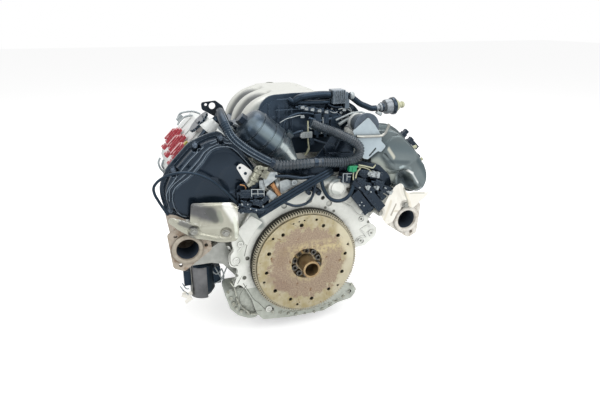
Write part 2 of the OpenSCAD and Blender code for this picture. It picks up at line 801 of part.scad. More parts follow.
module oil_filler_cap() {
    color([0.1, 0.1, 0.11])
    bank(-1) translate([filler_at[0], filler_at[1], cover_top + 10.4]) {
        cylinder(r = filler_r, h = 7);
        for (a = [0:20:340]) rotate(a) translate([filler_r - 1.2, -2, 0]) cube([2.6, 4, 7]);
        translate([0, 0, 6.9]) along_y(-20, 40) polygon([[-5, 0], [5, 0], [3, 3], [-3, 3]]);
        translate([0, 0, -14]) cylinder(r = filler_r - 12.4, h = 15);
    }
}

// ---------------------------------------------------------------- rotating parts

module crankshaft() {
    color([0.5, 0.5, 0.5])
    difference() {
        union() {
            rod([0, 0], crank_flange_r, hub_front, 23);
            rod([0, 0], journal_r, hub_front + 10, front_end - hub_front - 24);
            rod([0, 0], 21, front_end - 20, belt_y + 36.1 - front_end);
            // pulley bolt on the nose
            rod([0, 0], 27, belt_y + 16.05, 4);
            translate([0, belt_y + 30, 0]) rotate([90, 0, 0]) cylinder(r = 15, h = 12, $fn = 6);
        }
        rod([0, 0], sleeve_bore_r - 2, hub_front - 1, 34);
        for (i = [0:crank_bolts_n - 1]) rotate([0, i * 36 + 18, 0])
            rod([bolt_circle_r, 0], 5.2, hub_front - 1, 20);
    }
}

module drive_plate() {
    color([0.66, 0.55, 0.4])
    difference() {
        union() {
            rod([0, 0], plate_r, 0, plate_t);
            rod([0, 0], dish_r + dish_wall, 0, hub_front);
        }
        rod([0, 0], dish_r, -1, dish_depth + 1);
        rod([0, 0], sleeve_r + gap, -1, hub_front + 2);
        // converter holes and, turned by 32 degrees, the slightly smaller tooling holes
        for (i = [0:5]) for (h = [[97.5, hole_r], [65.6, tool_hole_r]]) rotate([0, i * 60, 0])
            rod(hole_circle_r * [cos(h[0]), sin(h[0])], h[1], -1, plate_t + 2);
        // smaller holes nearer the rim
        for (i = [0:5]) rotate([0, i * 60, 0])
            rod([(plate_r - 11.5) * cos(77.6), (plate_r - 11.5) * sin(77.6)], 3.4, -1, plate_t + 2);
        for (a = [107.1, 99.9, 93.3])
            rod([(plate_r - 12) * cos(a), (plate_r - 12) * sin(a)], 2, -1, plate_t + 2);
        for (i = [0:crank_bolts_n - 1]) rotate([0, i * 36 + 18, 0])
            rod([bolt_circle_r, 0], 5.2, -1, hub_front + 2);
    }
}

// Starter ring gear with straight teeth
module ring_gear() {
    pitch = 360 / ring_teeth;
    color([0.3, 0.29, 0.28])
    difference() {
        along_y(plate_t + 0.05, ring_w) polygon([for (i = [0:ring_teeth - 1]) each [
            for (q = [[-0.30, ring_root_r], [-0.17, ring_tip_r], [0.17, ring_tip_r],
                [0.30, ring_root_r]])
                q[1] * [cos((i + q[0]) * pitch), sin((i + q[0]) * pitch)]]]);
        rod([0, 0], ring_in_r, plate_t - 1, ring_w + 2);
    }
}

module crank_bolts() {
    color([0.35, 0.33, 0.3])
    for (i = [0:crank_bolts_n - 1]) rotate([0, i * 36 + 18, 0]) difference() {
        union() {
            rod([bolt_circle_r, 0], crank_head_r, dish_depth - crank_head_h, crank_head_h);
            rod([bolt_circle_r, 0], 4.9, dish_depth - 1, 20);
        }
        translate([bolt_circle_r, dish_depth - crank_head_h + 5, 0]) rotate([90, 0, 0])
            cylinder(r = 4.6, h = 8, $fn = 12);
    }
}

module pilot_sleeve() {
    color([0.72, 0.58, 0.34])
    difference() {
        union() {
            rod([0, 0], sleeve_r, -sleeve_out, sleeve_out + hub_front);
            rod([0, 0], sleeve_r + 1.2, -sleeve_out, 5);
        }
        rod([0, 0], sleeve_bore_r, -sleeve_out - 1, sleeve_out + hub_front + 2);
    }
}

// ---------------------------------------------------------------- belt drive

// Grooved rim profile of a pulley: radius r, width belt_w + 4
module grooved_rim(r, r_in) {
    w = belt_w + 4;
    step = belt_w / belt_ribs;
    polygon(concat([[r_in, 0], [r + 2, 0], [r + 2, 2]],
        [for (i = [0:belt_ribs - 1]) each [[r, 2 + i * step], [r - 2.2, 2 + (i + 0.5) * step],
            [r, 2 + (i + 1) * step]]],
        [[r + 2, w - 2], [r + 2, w], [r_in, w]]));
}

// A pulley that turns about Y at [x, z], its rim starting at y0
module pulley(at, y0, r, r_in) {
    translate([at[0], y0, at[1]]) rotate([-90, 0, 0]) rotate_extrude($fn = 96) grooved_rim(r, r_in);
}

module crank_pulley() {
    color([0.16, 0.16, 0.17])
    difference() {
        union() {
            pulley([0, 0], belt_y - 2, crank_pulley_r, 54);
            rod([0, 0], 50, belt_y - 12, 28);
            rod([0, 0], 54.5, belt_y + 2, 12);
            rod([0, 0], 30, front_end + 2, belt_y - front_end + 8);
        }
        rod([0, 0], 21, front_end - 4, 80);
        for (a = [0:60:300]) rod([42 * cos(a), 42 * sin(a)], 6, belt_y - 20, 50);
    }
}

module front_cover() {
    color([0.62, 0.64, 0.64])
    difference() {
        union() {
            along_y(block_end, front_t - 8) polygon(rounded([[-case_half_w, -skirt_depth],
                [case_half_w, -skirt_depth], [case_half_w, 20], [120, 70], [96, 176],
                [40, 204], [-40, 204], [-96, 176], [-132, 96], [-case_half_w, 20]], 14, 4));
            rod([0, 0], 46, block_end, front_t);
            // boss under the dipstick tube
            translate([120, block_end, -20]) cube([40, front_t + 4, 30]);
            for (p = [[-118, -48], [118, -48], [-122, 62], [120, 30], [-84, 160], [88, 150],
                [-44, 190], [60, 193]]) rod(p, 9, block_end, front_t - 4);
            // ribs that fan out from the crankshaft seal
            for (a = [0, 215, 325]) rotate([0, -a, 0])
                translate([44, block_end + 6, -3]) cube([64, 10, 6]);
        }
        rod([0, 0], journal_r + gap, block_end - 1, front_t - 14);
        rod([0, 0], 21 + gap, block_end - 1, front_t + 2);
        rod([0, 0], journal_r + gap, block_end - 1, 8);
    }
}

module water_pump() {
    color([0.66, 0.67, 0.67])
    difference() {
        union() {
            rod(pump_at, 46, front_end - 7.9, 14);
            rod(pump_at, 16, front_end, belt_y - front_end - 2.6);
            // inlet neck to the right, under the belt
            translate([pump_at[0], neck_y, pump_at[1]]) rotate([0, 60, 0]) {
                cylinder(r = 11, h = 84);
                translate([0, 0, 72]) cylinder(r = 12.5, h = 4);
            }
            for (a = [10, 130, 250]) rod([pump_at[0] + 50 * cos(a), pump_at[1] + 50 * sin(a)], 9,
                front_end - 7.9, 12);
        }
        rod(pump_at, 6 + running_fit, front_end - 9, 60);
        translate([pump_at[0], neck_y, pump_at[1]]) rotate([0, 60, 0])
            translate([0, 0, 50]) cylinder(r = neck_bore_r, h = 40);
    }
}

module pump_pulley() {
    color([0.2, 0.2, 0.21])
    difference() {
        union() {
            pulley(pump_at, belt_y - 2, pump_pulley_r, pump_pulley_r - 8);
            rod(pump_at, pump_pulley_r - 7, belt_y - 2, 5);
            rod(pump_at, 6, front_end, belt_y - front_end + 2);
            rod(pump_at, 18, belt_y - 2, 11);
        }
        for (a = [45:90:315]) rod([pump_at[0] + 32 * cos(a), pump_at[1] + 32 * sin(a)], 6,
            belt_y - 6, 14);
    }
}

module tensioner_arm() {
    color([0.5, 0.5, 0.52])
    difference() {
        union() {
            hull() {
                rod(tensioner_pivot, 20, belt_y - 16, 10);
                rod(tensioner_at, 14, belt_y - 16, 10);
            }
            rod(tensioner_pivot, 24, front_end - 7.7, belt_y - front_end + 2);
            rod(tensioner_at, 8, belt_y - 10, 28);
        }
        rod(tensioner_pivot, 7 + running_fit, front_end - 9, 60);
    }
}

module tensioner_pulley() {
    color([0.15, 0.15, 0.16])
    difference() {
        union() {
            pulley(tensioner_at, belt_y - 2, tensioner_r, tensioner_r - 9);
            rod(tensioner_at, tensioner_r - 8, belt_y + 4, 12);
        }
        rod(tensioner_at, 8 + running_fit, belt_y - 6, 40);
    }
}

module belt_loop(grow) {
    hull() {
        circle(r = crank_pulley_r + grow, $fn = 96);
        translate(pump_at) circle(r = pump_pulley_r + grow, $fn = 72);
        translate(tensioner_at) circle(r = tensioner_r + grow, $fn = 60);
    }
}

module drive_belt() {
    color([0.07, 0.07, 0.08])
    along_y(belt_y + 0.4, belt_w - 0.8) difference() {
        belt_loop(gap + belt_t);
        belt_loop(gap);
    }
}

module thermostat_housing() {
    color([0.68, 0.69, 0.7])
    difference() {
        union() {
            rod([-22, 236], 26, block_end - 27, 31);
            along_y(block_end - 24, 23.7) polygon(rounded([[-52, 205], [10, 205], [10, 262],
                [-52, 262]], 10, 4));
            translate([-22, block_end - 2, 236]) rotate([-60, 0, 0]) cylinder(r = 19, h = 52);
            translate([-22, block_end - 2, 236]) rotate([-60, 0, 0]) translate([0, 0, 47])
                cylinder(r = 21, h = 4);
            translate([-43, block_end - 30, 152]) cube([49, 28, 60]);
        }
        translate([-22, block_end - 2, 236]) rotate([-60, 0, 0]) translate([0, 0, 20])
            cylinder(r = thermostat_bore_r, h = 40);
    }
}

// ---------------------------------------------------------------- engine mount

module mount_bracket() {
    color([0.6, 0.61, 0.58])
    difference() {
        union() {
            // arm from the block to the mount
            for (y = [66, 138]) along_y(y, 14) polygon(rounded([[-148.3, 30], [-148.3, -46],
                [-172, -40], [-204, 0], [-232, 8], [-286, 8], [-286, 22], [-262, 30], [-212, 60],
                [-196, 58], [-184, 30]], 6, 4));
            // foot on the block pad and deck between the two webs
            along_y(60, 100) translate([-156.3, -44]) square([8, 72]);
            along_y(66, 86) polygon([[-206, 9], [-206, 22], [-286, 22], [-286, 8.2]]);
        }
        for (y = [92, 126]) for (z = [-30, 12]) translate([-180, y, z]) rotate([0, 90, 0])
            cylinder(r = 5.2, h = 40);
        // lightening hole through both webs
        rod([-180, 4], 11, 60, 100);
    }
}

mount_at = [-252, 112];

module engine_mount() {
    color([0.1, 0.1, 0.12])
    translate([mount_at[0], mount_at[1], 0]) {
        translate([0, 0, -82]) cylinder(r = 31, h = 72);
        translate([0, 0, -96]) cylinder(r1 = 22, r2 = 31, h = 14);
        translate([0, 0, -10]) cylinder(r1 = 31, r2 = 16, h = 12);
        translate([0, 0, 0]) cylinder(r = 14, h = 7.9);
        translate([0, 0, -112]) cylinder(r = 6, h = 20);
        // stop lugs beside the cushion
        translate([24, -14, -70]) cube([22, 28, 48]);
        translate([-48, -10, -66]) cube([20, 20, 42]);
    }
}

module mount_shield() {
    color([0.3, 0.3, 0.32])
    translate([mount_at[0], mount_at[1], -98])
    difference() {
        cylinder(r = 33, h = 87.5);
        translate([0, 0, -1]) cylinder(r = 31.3, h = 94);
        // open towards the block and at the far side
        translate([8, -50, -1]) cube([60, 100, 100]);
        translate([-60, -11, 31]) cube([40, 22, 45]);
        translate([-60, 6, -1]) cube([100, 60, 100]);
    }
}

// ---------------------------------------------------------------- hoses and harness

breather_route = [[-194.8, 104, 359.6], [-192, 104, 362.4], [-188.6, 103, 366.4], [-186, 97, 377], [-187, 80, 384],
    [-190, 58, 382], [-190, 34, 374], [-187, 13, 360], [-180, 3, 344], [-166, 2, 328],
    [-142, 2, 308], [-112, 2, 288], [-88, 2, 274]];
conduit_route = [[-87.4, 2, 273.6], [-80, 2, 269.6], [-64, 2, 265.4], [-42, 2, 264], [-14, 2, 264], [14, 2, 264],
    [44, 2, 262], [72, 2, 260], [98, 0, 260], [118, -3, 265], [130, -5, 275], [133, -5, 290],
    [125, -4, 303], [111, 3, 313], [97, 16, 320], [82, 34, 327], [56, 50, 336], [30, 56, 348]];
bundle_route = [[-126, 2, 148], [-104, 0, 160], [-64, 0, 180], [-22, 0, 201], [20, 0, 221],
    [46, 0, 232], [66, 6, 240]];
loop_route = [[40, 8, 216], [40, 3, 206], [45, 1, 190], [56, 0, 173], [72, 0, 162],
    [90, 0, 160], [106, 0, 166], [117, 0, 180], [123, 3, 196], [126, 5, 212], [126, 5, 231.7]];
lambda_route = [[-161.3, 12, 178], [-168, 12, 178], [-184, 2, 198], [-204, 0, 222], [-232, 0, 248],
    [-262, 0, 264], [-292, 0, 270], [-318, 0, 268], [-340, 2, 258], [-354, 6, 242],
    [-354, 10, 224], [-346, 10, 204], [-336, 8, 184], [-330, 8, 172]];
coolant_route = [[119.8, 19, 194], [127, 19, 194], [144, 19, 189], [160, 19, 187],
    [176, 19, 184], [190, 19, 181]];
vent_route = [[2, 120.6, 388], [2, 112, 391], [14, 102, 403], [34, 100, 407], [60, 100, 409],
    [80, 100, 409], [95.6, 100, 408]];
purge_route = [[132.5, 100, 404], [141, 100, 404], [153, 100, 400], [166, 100, 391],
    [180, 100, 381], [196, 100, 374], [212, 100, 367.4], [225.6, 100, 367]];

module breather_hose() {
    color([0.14, 0.15, 0.17]) sweep(smooth(breather_route, 2), 9.5, 10, [1, 0, 0]);
}

module harness_conduit() {
    color([0.16, 0.17, 0.19]) sweep(smooth(conduit_route, 2), 10.5, 10);
}

module cable_bundle() {
    color([0.09, 0.09, 0.1])
    for (d = [-7.5, 0, 7.5])
        sweep([for (p = bundle_route) p + d * [-0.427, 0, 0.904]], 3.6, 8);
}

module loop_cable() {
    color([0.1, 0.11, 0.12]) sweep(smooth(loop_route, 2), 4.5, 8);
}

module lambda_cable() {
    color([0.35, 0.35, 0.36]) sweep(smooth(lambda_route, 2), 3.2, 8);
}

module coolant_hose() {
    color([0.1, 0.11, 0.12]) sweep(smooth(coolant_route, 2), 9.5, 12);
}

module vapour_hoses() {
    color([0.11, 0.11, 0.13]) {
        sweep(smooth(vent_route, 2), 9, 12);
        sweep(smooth(purge_route, 2), 7.5, 12);
    }
}

module check_valve() {
    color([0.5, 0.5, 0.52]) {
        translate([(valve_at[0] + valve_at[1]) * half_root, 100,
                (valve_at[1] - valve_at[0]) * half_root]) rotate([0, 86, 0]) {
            cylinder(r = 7, h = 12);
            translate([0, 0, 8]) cylinder(r = 11, h = 18);
            translate([0, 0, 25]) cylinder(r = 19, h = 24);
            translate([0, 0, 48]) cylinder(r = 22, h = 5);
            translate([0, 0, 53]) cylinder(r1 = 20, r2 = 13, h = 12);
            translate([0, 0, 64]) cylinder(r = 7, h = 17);
        }
        // branch that drops to the cam cover, along the bank's axis
        bank(1) translate([-76, 100, cover_top + 0.05]) {
            cylinder(r = 7, h = 38);
            translate([0, 0, 8]) cylinder(r = 12, h = 7);
            cylinder(r = 10, h = 3);
        }
    }
}

module purge_solenoid() {
    color([0.13, 0.14, 0.16])
    union() {
        translate([96, 87, 375]) cube([36, 27, 38]);
        translate([101, 82, 380]) cube([12, 8, 26]);
        translate([119, 82, 380]) cube([8, 8, 26]);
        translate([106, 98, 368]) cylinder(r = 7, h = 10);
        // arm back to the wall under the intake roof
        translate([106, 112, 378]) cube([16, intake_y - 18.05 - 112, 14]);
    }
}

// ---------------------------------------------------------------- right-hand brackets

plate_pts = [[160, 363], [120, 331], [126, 318], [141, 288], [145, 267], [153, 260],
    [164, 257], [181, 270], [191, 276], [200, 273], [213, 287], [199, 301], [199, 314],
    [192, 324], [179, 343]];

module slot2d(a, b, r) {
    hull() {
        translate(a) circle(r = r, $fn = 16);
        translate(b) circle(r = r, $fn = 16);
    }
}

module bracket_plate() {
    color([0.62, 0.66, 0.7]) {
        along_y(10, 2.5) difference() {
            polygon(rounded(plate_pts, 5, 3));
            slot2d([146, 292], [148, 268], 2.5);
            slot2d([184, 283], [169, 267], 2.5);
        }
        // foot back to the chain cover
        rod([190, 296], 6, 12, cover_y - 0.05);
    }
}

module support_rod() {
    color([0.55, 0.58, 0.6])
    sweep(smooth([[128, 5.5, 319], [138, 5.5, 318], [150, 5.5, 317], [176, 5.5, 316], [198, 5.5, 316],
        [208, 5.5, 326], [216, 6, 344]], 2), 3.6, 8);
}

module vacuum_pump() {
    color([0.3, 0.31, 0.33])
    bank(1) {
        rod(pump_local, 22, 16, head_y - 16.05);
        rod(pump_local, 33, 12.55, 6.45);
        rod(pump_local, 24, 30, 4);
    }
}

eye_y = 128;
eye_hole = [-137, 188, 8];

module lifting_eye() {
    color([0.12, 0.12, 0.13])
    bank(-1) on_deck()
    difference() {
        union() {
            along_y(eye_y, 5) polygon(rounded([[-114, 200], [-125, 213], [-152, 190],
                [-154, 170], [-128, 112], [-118, 68], [-100.3, 68], [-100.3, 104],
                [-106, 112], [-112, 144], [-122, 168]], 6, 4));
            // foot turned along the head
            translate([-105.3, eye_y - 18, 70]) cube([5, 22, 30]);
        }
        rod([eye_hole[0], eye_hole[1]], eye_hole[2], eye_y - 2, 10);
        rod([-129, 201], 3.4, eye_y - 2, 10);
        translate([-110, eye_y - 9, 85]) rotate([0, 90, 0]) cylinder(r = 4.4, h = 14);
    }
}

module rear_coolant_housing() {
    color([0.7, 0.7, 0.62])
    difference() {
        union() {
            // foot on the top edge of the flange
            translate([-58, flange_y + 1, 184.05]) cube([140, 12, 10]);
            // cross pipe between the banks
            translate([-98, 30.5, 203]) rotate([0, 90, 0]) cylinder(r = 12.5, h = 198);
            for (x = [-64, 92]) translate([x, 30.5, 203]) rotate([0, 90, 0])
                cylinder(r = 13.4, h = 6);
            // outlet behind the harness on the left
            rod([-88, 218], 17, 12, 26);
            rod([-88, 218], 20, 12, 5);
            // casting against the flange face, inside the cable loop
            rod([84, 190], 24, 10, flange_y + pad_depth - 10);
            rod([84, 190], 17, 8, 4);
            // neck for the short hose, and two posts that carry the cable bundle
            translate([84, 19, 194]) rotate([0, 90, 0]) cylinder(r = 9.5, h = 34.7);
            for (p = [[-36, 194], [12, 217]]) rod(p, 5, 4, 20);
        }
        rod([-88, 218], 12.5, 10, 20);
    }
}

module harness_connectors() {
    color([0.08, 0.08, 0.1]) {
        translate([-160, 8.4, 166]) cube([54, 11, 20]);
        translate([-156, 8.4, 185]) cube([24, 11, 16]);
        translate([-128, 8.4, 185]) cube([22, 11, 16]);
        // clip from the green plug up to the conduit
        translate([118, -2, 246]) cube([8, 8, 8]);
    }
    color([0.05, 0.5, 0.38]) translate([114, -2, 232]) cube([20, 14, 14]);
}

// Sensor standing on a cover, with its square plug on top
module sensor_plug(tall) {
    cylinder(r = 7, h = tall - 24);
    translate([-7, -7, tall - 34]) cube([14, 14, 24]);
    translate([-5.5, -5.5, tall - 12]) cube([11, 11, 12]);
}

module camshaft_sensors() {
    color([0.2, 0.2, 0.18])
    bank(1) {
        translate([6, 84, cover_top - 5.95]) sensor_plug(58);
        translate([34, 84, cover_top - 5.95]) sensor_plug(54);
        // plug turned outwards
        translate([38, 78, cover_top + 34]) cube([28, 12, 12]);
        translate([86, 84, head_top + 13.05]) sensor_plug(65);
    }
    // yellow and green plug over the left bank
    color([0.62, 0.63, 0.2])
    bank(-1) translate([40, 76, cover_top - 5.95]) {
        cube([26, 12, 16]);
        translate([4, -8, 4]) cube([16, 12, 9]);
    }
}

// Light triangular sheet that carries the plugs on the left
module harness_bracket() {
    color([0.85, 0.85, 0.82])
    difference() {
        union() {
            along_y(10, 2) polygon(rounded([[-168, 270], [-146, 266], [-132, 214], [-142, 206]],
                5, 3));
            along_y(10, 2) polygon(rounded([[-150, 212], [-128, 222], [-107, 232], [-102, 222],
                [-120, 204], [-146, 202]], 3, 3));
            rod([-137, 214], 6, 12, cover_y - 10.55);
        }
        rod([-158, 262], 3, 8, 6);
        rod([-147, 246], 3, 8, 6);
        rod([-110, 224], 2.5, 8, 6);
    }
}

module control_unit() {
    color([0.08, 0.09, 0.11])
    translate([148, 6, 146]) rotate([0, 38, 0]) {
        translate([-26, 0, -16]) cube([40, 14, 36]);
        translate([22, 8, -22]) cylinder(r = 9, h = 52);
        translate([8, 5, -14]) cube([10, 6, 26]);
    }
    // post to the flange
    color([0.08, 0.09, 0.11]) rod([128, 146], 6, 12, flange_y + pad_depth - 12.05);
}

// ---------------------------------------------------------------- fasteners

module flange_bolt() {
    // bolt along Y, head towards the rear, seat at y = 0
    translate([0, 0, 0]) rotate([90, 0, 0]) cylinder(r = 8.6, h = 1.6);
    translate([0, -1.5, 0]) rotate([90, 0, 0]) cylinder(r = 6.4, h = 6, $fn = 6);
    translate([0, 14, 0]) rotate([90, 0, 0]) cylinder(r = 4, h = 15);
}

module flange_bolts() {
    color([0.7, 0.7, 0.68]) {
        bank(-1) on_deck() for (b = left_cover_bolts)
            translate([b[0], head_y - 16.05, b[1]]) flange_bolt();
        bank(1) on_deck() for (b = right_cover_bolts)
            translate([b[0], head_y - 16.05, b[1]]) flange_bolt();
        both() for (b = shield_bolts) translate([b[0], 2.15, b[1]]) flange_bolt();
    }
}

// ---------------------------------------------------------------- dipstick

dipstick_at = [150, head_end + 9];
dipstick_top = 330;

module dipstick_tube() {
    color([0.45, 0.46, 0.47])
    translate([dipstick_at[0], dipstick_at[1], 10.05]) difference() {
        union() {
            cylinder(r = 5.5, h = dipstick_top - 10);
            cylinder(r = 7.5, h = 14);
            translate([0, 0, dipstick_top - 16]) cylinder(r = 7.5, h = 6);
        }
        translate([0, 0, 2]) cylinder(r = 4, h = dipstick_top);
    }
}

module dipstick() {
    translate([dipstick_at[0], dipstick_at[1], 0]) {
        color([0.7, 0.7, 0.7]) translate([0, 0, 16]) cylinder(r = 2.6, h = dipstick_top - 14);
        color([0.85, 0.4, 0.08]) {
            translate([0, 0, dipstick_top + 0.4]) cylinder(r = 7, h = 12);
            // finger loop
            translate([0, 3, dipstick_top + 28]) rotate([90, 0, 0]) difference() {
                cylinder(r = 17, h = 6);
                translate([0, 0, -1]) cylinder(r = 11.5, h = 8);
            }
        }
    }
}

// ---------------------------------------------------------------- nodes

cylinder_block();
upper_oil_pan();
lower_oil_pan();
rear_seal_flange();
cylinder_head(-1);  // cylinder_head_left
cylinder_head(1);  // cylinder_head_right
cam_cover(-1);  // cam_cover_left
cam_cover(1);  // cam_cover_right
chain_cover_left();
chain_cover_right();
exhaust_manifold(-1);  // exhaust_manifold_left
exhaust_manifold(1);  // exhaust_manifold_right
heat_shield_left();
heat_shield_right();
intake_manifold_upper();
intake_manifold_lower();
throttle_body();
throttle_plate();
oil_filter_housing();
oil_filter_cap();
oil_filler_cap();
ignition_coils(-1);  // ignition_coils_left
ignition_coils(1);  // ignition_coils_right
crankshaft();
drive_plate();
ring_gear();
crank_bolts();
pilot_sleeve();
crank_pulley();
front_cover();
water_pump();
pump_pulley();
tensioner_arm();
tensioner_pulley();
drive_belt();
thermostat_housing();
mount_bracket();
engine_mount();
mount_shield();
breather_hose();
harness_conduit();
cable_bundle();
loop_cable();
lambda_cable();
coolant_hose();
vapour_hoses();
camshaft_sensors();
harness_bracket();
check_valve();
purge_solenoid();
bracket_plate();
support_rod();
vacuum_pump();
lifting_eye();
rear_coolant_housing();
harness_connectors();
control_unit();
flange_bolts();
dipstick();
dipstick_tube();
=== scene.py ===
# %% [markdown]
# # A six-cylinder vee engine, seen from its gearbox end
# The solid model of the engine comes in as a fixed frame: every casting, pulley and bolt
# already has its size and place. This lesson gives them their finishes, and swaps pieces
# with small forms, such as pressed covers and ribbed hoses, for finer meshes that ride on
# the same bodies.

# %% Load the frame
import json
import math

import bpy
import bmesh
import numpy as np
from mathutils import Matrix, Vector


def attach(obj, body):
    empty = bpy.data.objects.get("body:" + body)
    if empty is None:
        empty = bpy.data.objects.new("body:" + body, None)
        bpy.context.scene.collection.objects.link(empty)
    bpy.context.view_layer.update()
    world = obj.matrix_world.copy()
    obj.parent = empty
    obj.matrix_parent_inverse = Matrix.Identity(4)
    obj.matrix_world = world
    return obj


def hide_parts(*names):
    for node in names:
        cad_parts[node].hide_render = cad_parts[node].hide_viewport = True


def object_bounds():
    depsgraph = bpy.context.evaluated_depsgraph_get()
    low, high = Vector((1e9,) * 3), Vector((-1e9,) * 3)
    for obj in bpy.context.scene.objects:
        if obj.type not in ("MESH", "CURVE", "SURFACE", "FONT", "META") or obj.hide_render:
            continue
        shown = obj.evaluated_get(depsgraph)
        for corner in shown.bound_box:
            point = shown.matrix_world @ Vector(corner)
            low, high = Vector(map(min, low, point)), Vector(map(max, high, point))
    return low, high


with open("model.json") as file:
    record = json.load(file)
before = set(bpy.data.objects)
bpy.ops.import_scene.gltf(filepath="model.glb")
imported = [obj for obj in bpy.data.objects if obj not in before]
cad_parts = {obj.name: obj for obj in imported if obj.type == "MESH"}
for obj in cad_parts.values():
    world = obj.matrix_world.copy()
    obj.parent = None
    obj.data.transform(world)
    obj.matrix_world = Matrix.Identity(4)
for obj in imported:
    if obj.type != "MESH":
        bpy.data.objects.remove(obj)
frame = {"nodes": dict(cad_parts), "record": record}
cad_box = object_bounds()
nodes = frame["nodes"]
scene = bpy.context.scene
MM = 0.001

# %% [markdown]
# ## Camera
# A 30 mm lens held above the gearbox end, a little to the left. It looks down by 20 degrees,
# so both the drive plate and the top of the intake show.

# %% Camera
LENS, SENSOR = 30, 36
CAMERA_AT = Vector((-0.3884, -1.0777, 0.5888))
CAMERA_AZIMUTH, CAMERA_DROP = math.radians(18.94), math.radians(20)
camera = bpy.data.objects.new("camera", bpy.data.cameras.new("camera"))
camera.data.lens, camera.data.sensor_width = LENS, SENSOR
ahead = Vector((math.sin(CAMERA_AZIMUTH) * math.cos(CAMERA_DROP),
                math.cos(CAMERA_AZIMUTH) * math.cos(CAMERA_DROP), -math.sin(CAMERA_DROP)))
right = Vector((math.cos(CAMERA_AZIMUTH), -math.sin(CAMERA_AZIMUTH), 0))
above = right.cross(ahead)
camera.matrix_world = Matrix.Translation(CAMERA_AT) @ Matrix(
    (right, above, -ahead)).transposed().to_4x4()
scene.collection.objects.link(camera)
bpy.context.scene.camera = camera
print("camera", tuple(round(v, 3) for v in CAMERA_AT))

# %% [markdown]
# ## Tubes along a route
# Hoses, conduits and cables are all one idea: a circle carried along a smooth curve. The
# circle's radius may change on the way, which gives the rings of a corrugated hose. The
# frame that carries the circle turns as little as it can, so nothing twists.

# %% Smooth routes and swept tubes
def smooth_route(points, spacing):
    """Points about `spacing` apart on a Catmull-Rom curve through `points`, in metres."""
    p = [Vector(q) for q in points]
    out = []
    for i in range(len(p) - 1):
        a, b = p[max(i - 1, 0)], p[i]
        c, d = p[i + 1], p[min(i + 2, len(p) - 1)]
        steps = max(2, round((c - b).length / spacing))
        for k in range(steps):
            t = k / steps
            out.append(0.5 * (2 * b + (c - a) * t + (2 * a - 5 * b + 4 * c - d) * t * t
                              + (3 * b - a - 3 * c + d) * t ** 3))
    out.append(p[-1])
    return out


def route_length(points):
    return sum((b - a).length for a, b in zip(points, points[1:]))


def put_in_scene(name, mesh):
    """The mesh as a piece of the scene."""
    piece = bpy.data.objects.new(name, mesh)
    scene.collection.objects.link(piece)
    return piece


def swept_tube(name, points, radius, sides):
    """A closed tube; radius is a number or a function of the distance along the route."""
    mesh = bpy.data.meshes.new(name)
    count = len(points)
    ahead_at = [(points[min(i + 1, count - 1)] - points[max(i - 1, 0)]).normalized()
                for i in range(count)]
    side = ahead_at[0].orthogonal().normalized()
    verts, faces, gone = [], [], 0.0
    for i, (p, t) in enumerate(zip(points, ahead_at)):
        side = (side - side.dot(t) * t).normalized()
        other = t.cross(side)
        if i:
            gone += (p - points[i - 1]).length
        r = radius(gone) if callable(radius) else radius
        for k in range(sides):
            w = 2 * math.pi * k / sides
            verts.append(p + r * (math.cos(w) * side + math.sin(w) * other))
    for i in range(count - 1):
        for k in range(sides):
            j = (k + 1) % sides
            faces.append((i * sides + k, i * sides + j,
                          (i + 1) * sides + j, (i + 1) * sides + k))
    faces.append(tuple(reversed(range(sides))))
    faces.append(tuple((count - 1) * sides + k for k in range(sides)))
    mesh.from_pydata([tuple(v) for v in verts], [], faces)
    mesh.polygons.foreach_set("use_smooth", [len(f) == 4 for f in faces])
    return put_in_scene(name, mesh)


print("tubes are ready")

# %% [markdown]
# ## What every piece is told
# A piece has a finish and rides on a body. Some stand for nodes of the solid
# model, which are then hidden. All finer pieces sit on castings, so they ride "engine".

# %% Finish, body and the nodes it stands for
def finished(piece, look, slot, *replaced, body="engine"):
    """Gives a piece its finish, its body and the CAD nodes that it stands for."""
    piece.data.materials.clear()
    piece.data.materials.append(FINISHES[look])
    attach(piece, body)
    if replaced:
        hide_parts(*replaced)
    return piece


print("pieces can be finished")

# %% [markdown]
# ## Shared surface effects
# Five effects turn up on many finishes: patches, grain, worn edges, dust and grime. On dark
# parts the worn edges and the dust are also painted highlights and sheen, and grime in corners
# is also painted shade. Each is a group of shader nodes with named inputs, so every material
# takes it with its own values.

# %% Small tools for shader nodes
def shader_node(tree, kind, inputs=None, **settings):
    """Adds a node; an input is a value, or a socket that is linked to it."""
    node = tree.nodes.new("ShaderNode" + kind)
    for key, value in settings.items():
        setattr(node, key, value)
    for key, value in (inputs or {}).items():
        if isinstance(value, bpy.types.NodeSocket):
            tree.links.new(value, node.inputs[key])
        else:
            node.inputs[key].default_value = value
    return node


def maths(tree, operation, *values, **settings):
    """A sum with sockets or numbers."""
    return shader_node(tree, "Math", dict(enumerate(values)), operation=operation,
                       **settings).outputs[0]


def vector_maths(tree, operation, *values):
    """The same for vectors; lengths and dot products come out as numbers."""
    node = shader_node(tree, "VectorMath", dict(enumerate(values)), operation=operation)
    return node.outputs["Value" if operation in ("LENGTH", "DOT_PRODUCT") else "Vector"]


def ranged(tree, value, low, high, to_low=0.0, to_high=1.0, **settings):
    """The value's way from low to high, as a share between to_low and to_high."""
    return shader_node(tree, "MapRange", {
        "Value": value, "From Min": low, "From Max": high, "To Min": to_low,
        "To Max": to_high}, **settings).outputs["Result"]


def noise(tree, place, scale, detail, roughness=0.5):
    return shader_node(tree, "TexNoise", {"Vector": place, "Scale": scale, "Detail": detail,
                                          "Roughness": roughness}).outputs["Fac"]


def mixed(tree, share, first, second):
    """Two colours laid over one another; the share is that of the second."""
    return shader_node(tree, "MixRGB", {"Fac": share, "Color1": first,
                                        "Color2": second}).outputs[0]


